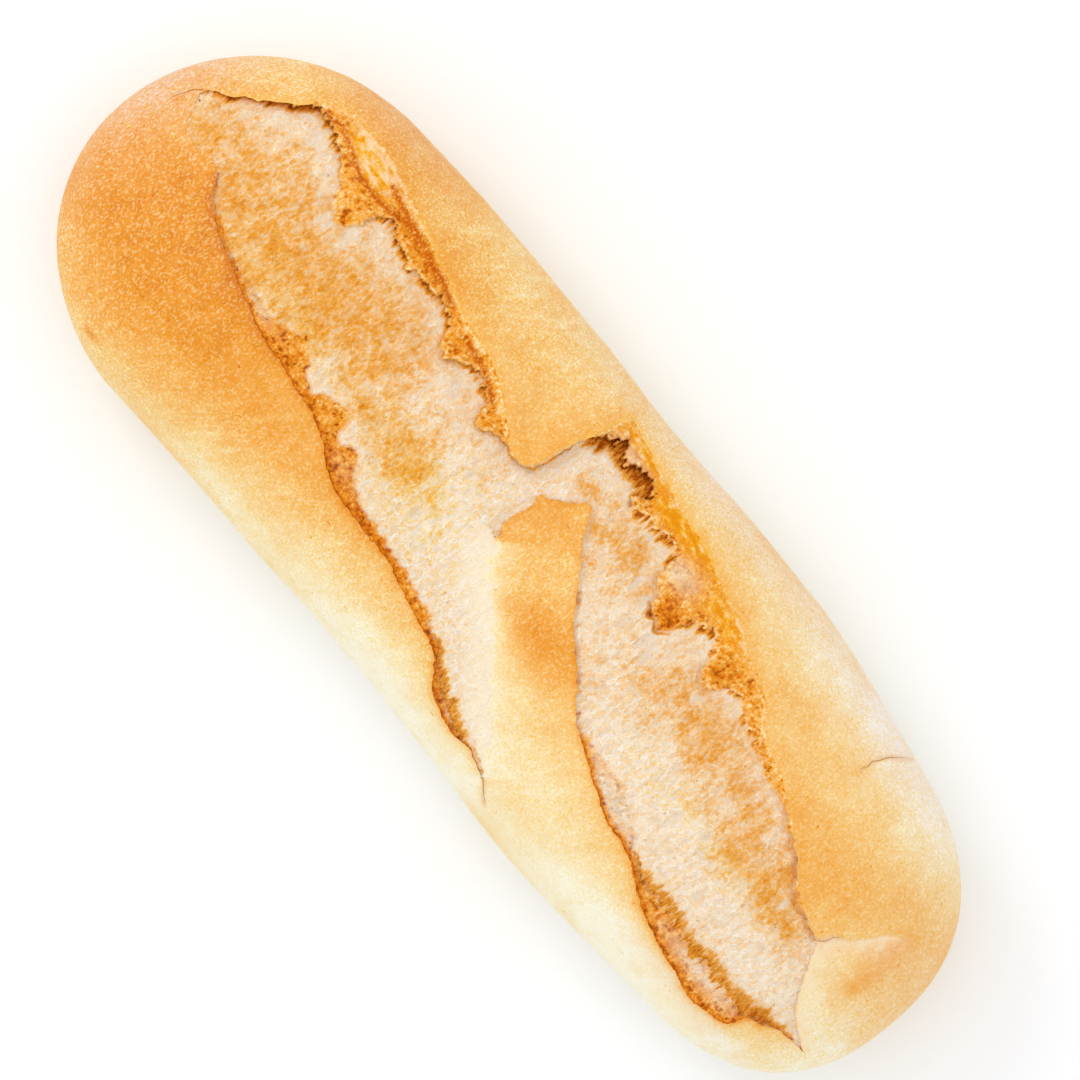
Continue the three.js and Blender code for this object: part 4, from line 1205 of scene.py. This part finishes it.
floor_corners = [(FLOOR_HALF * a, FLOOR_HALF * b, 0) for a, b in ((-1, -1), (1, -1), (1, 1), (-1, 1))]
floor_mesh = bpy.data.meshes.new("floor")
floor_mesh.from_pydata(floor_corners, [], [(0, 1, 2, 3)])
floor = bpy.data.objects.new("floor", floor_mesh)
bpy.context.scene.collection.objects.link(floor)
floor_material, _, floor_shader = new_material("pale_floor")
floor_shader.inputs["Base Color"].default_value = FLOOR_TONE
floor_shader.inputs["Roughness"].default_value = 0.9
floor_shader.inputs["Specular IOR Level"].default_value = 0.0
floor_mesh.materials.append(floor_material)

# The photograph looks straight down, with the loaf turned from the picture's right by this angle.
VIEW_TURN = math.radians(50.39)
VIEW_MIDDLE = (0.77, 7.28)
VIEW_WIDTH = 270.0
VIEW_DISTANCE = 5000.0
SENSOR = 36.0

camera = bpy.data.objects.new("camera", bpy.data.cameras.new("camera"))
camera.location = (VIEW_MIDDLE[0] * MM, VIEW_MIDDLE[1] * MM, VIEW_DISTANCE * MM)
camera.rotation_euler = (0, 0, VIEW_TURN)
camera.data.sensor_width = SENSOR
camera.data.lens = SENSOR * (VIEW_DISTANCE - BELLY) / VIEW_WIDTH
camera.data.clip_end = 100
bpy.context.scene.collection.objects.link(camera)
bpy.context.scene.camera = camera


def area_light(name, towards, distance, size, power):
    """A square soft light that looks at the loaf from a direction in the picture's own right, up and out."""
    right = np.array([math.cos(VIEW_TURN), math.sin(VIEW_TURN), 0])
    up = np.array([-math.sin(VIEW_TURN), math.cos(VIEW_TURN), 0])
    direction = towards[0] * right + towards[1] * up + towards[2] * np.array([0, 0, 1])
    direction /= np.linalg.norm(direction)
    lamp = bpy.data.lights.new(name, "AREA")
    lamp.size = size
    lamp.energy = power
    made = bpy.data.objects.new(name, lamp)
    made.location = direction * distance
    made.rotation_mode = "QUATERNION"
    made.rotation_quaternion = Vector(direction).to_track_quat("Z", "Y")
    bpy.context.scene.collection.objects.link(made)


area_light("key_light", (-0.64, 0.77, 1.0), 1.6, 0.6, 3.6)
area_light("top_light", (0.0, 0.0, 1.0), 2.2, 2.0, 4.0)

world = bpy.data.worlds.new("studio")
world.use_nodes = True
background = world.node_tree.nodes["Background"]
background.inputs["Color"].default_value = (1, 1, 1, 1)
background.inputs["Strength"].default_value = ROOM_LIGHT
bpy.context.scene.world = world
bpy.context.scene.view_settings.view_transform = "Standard"
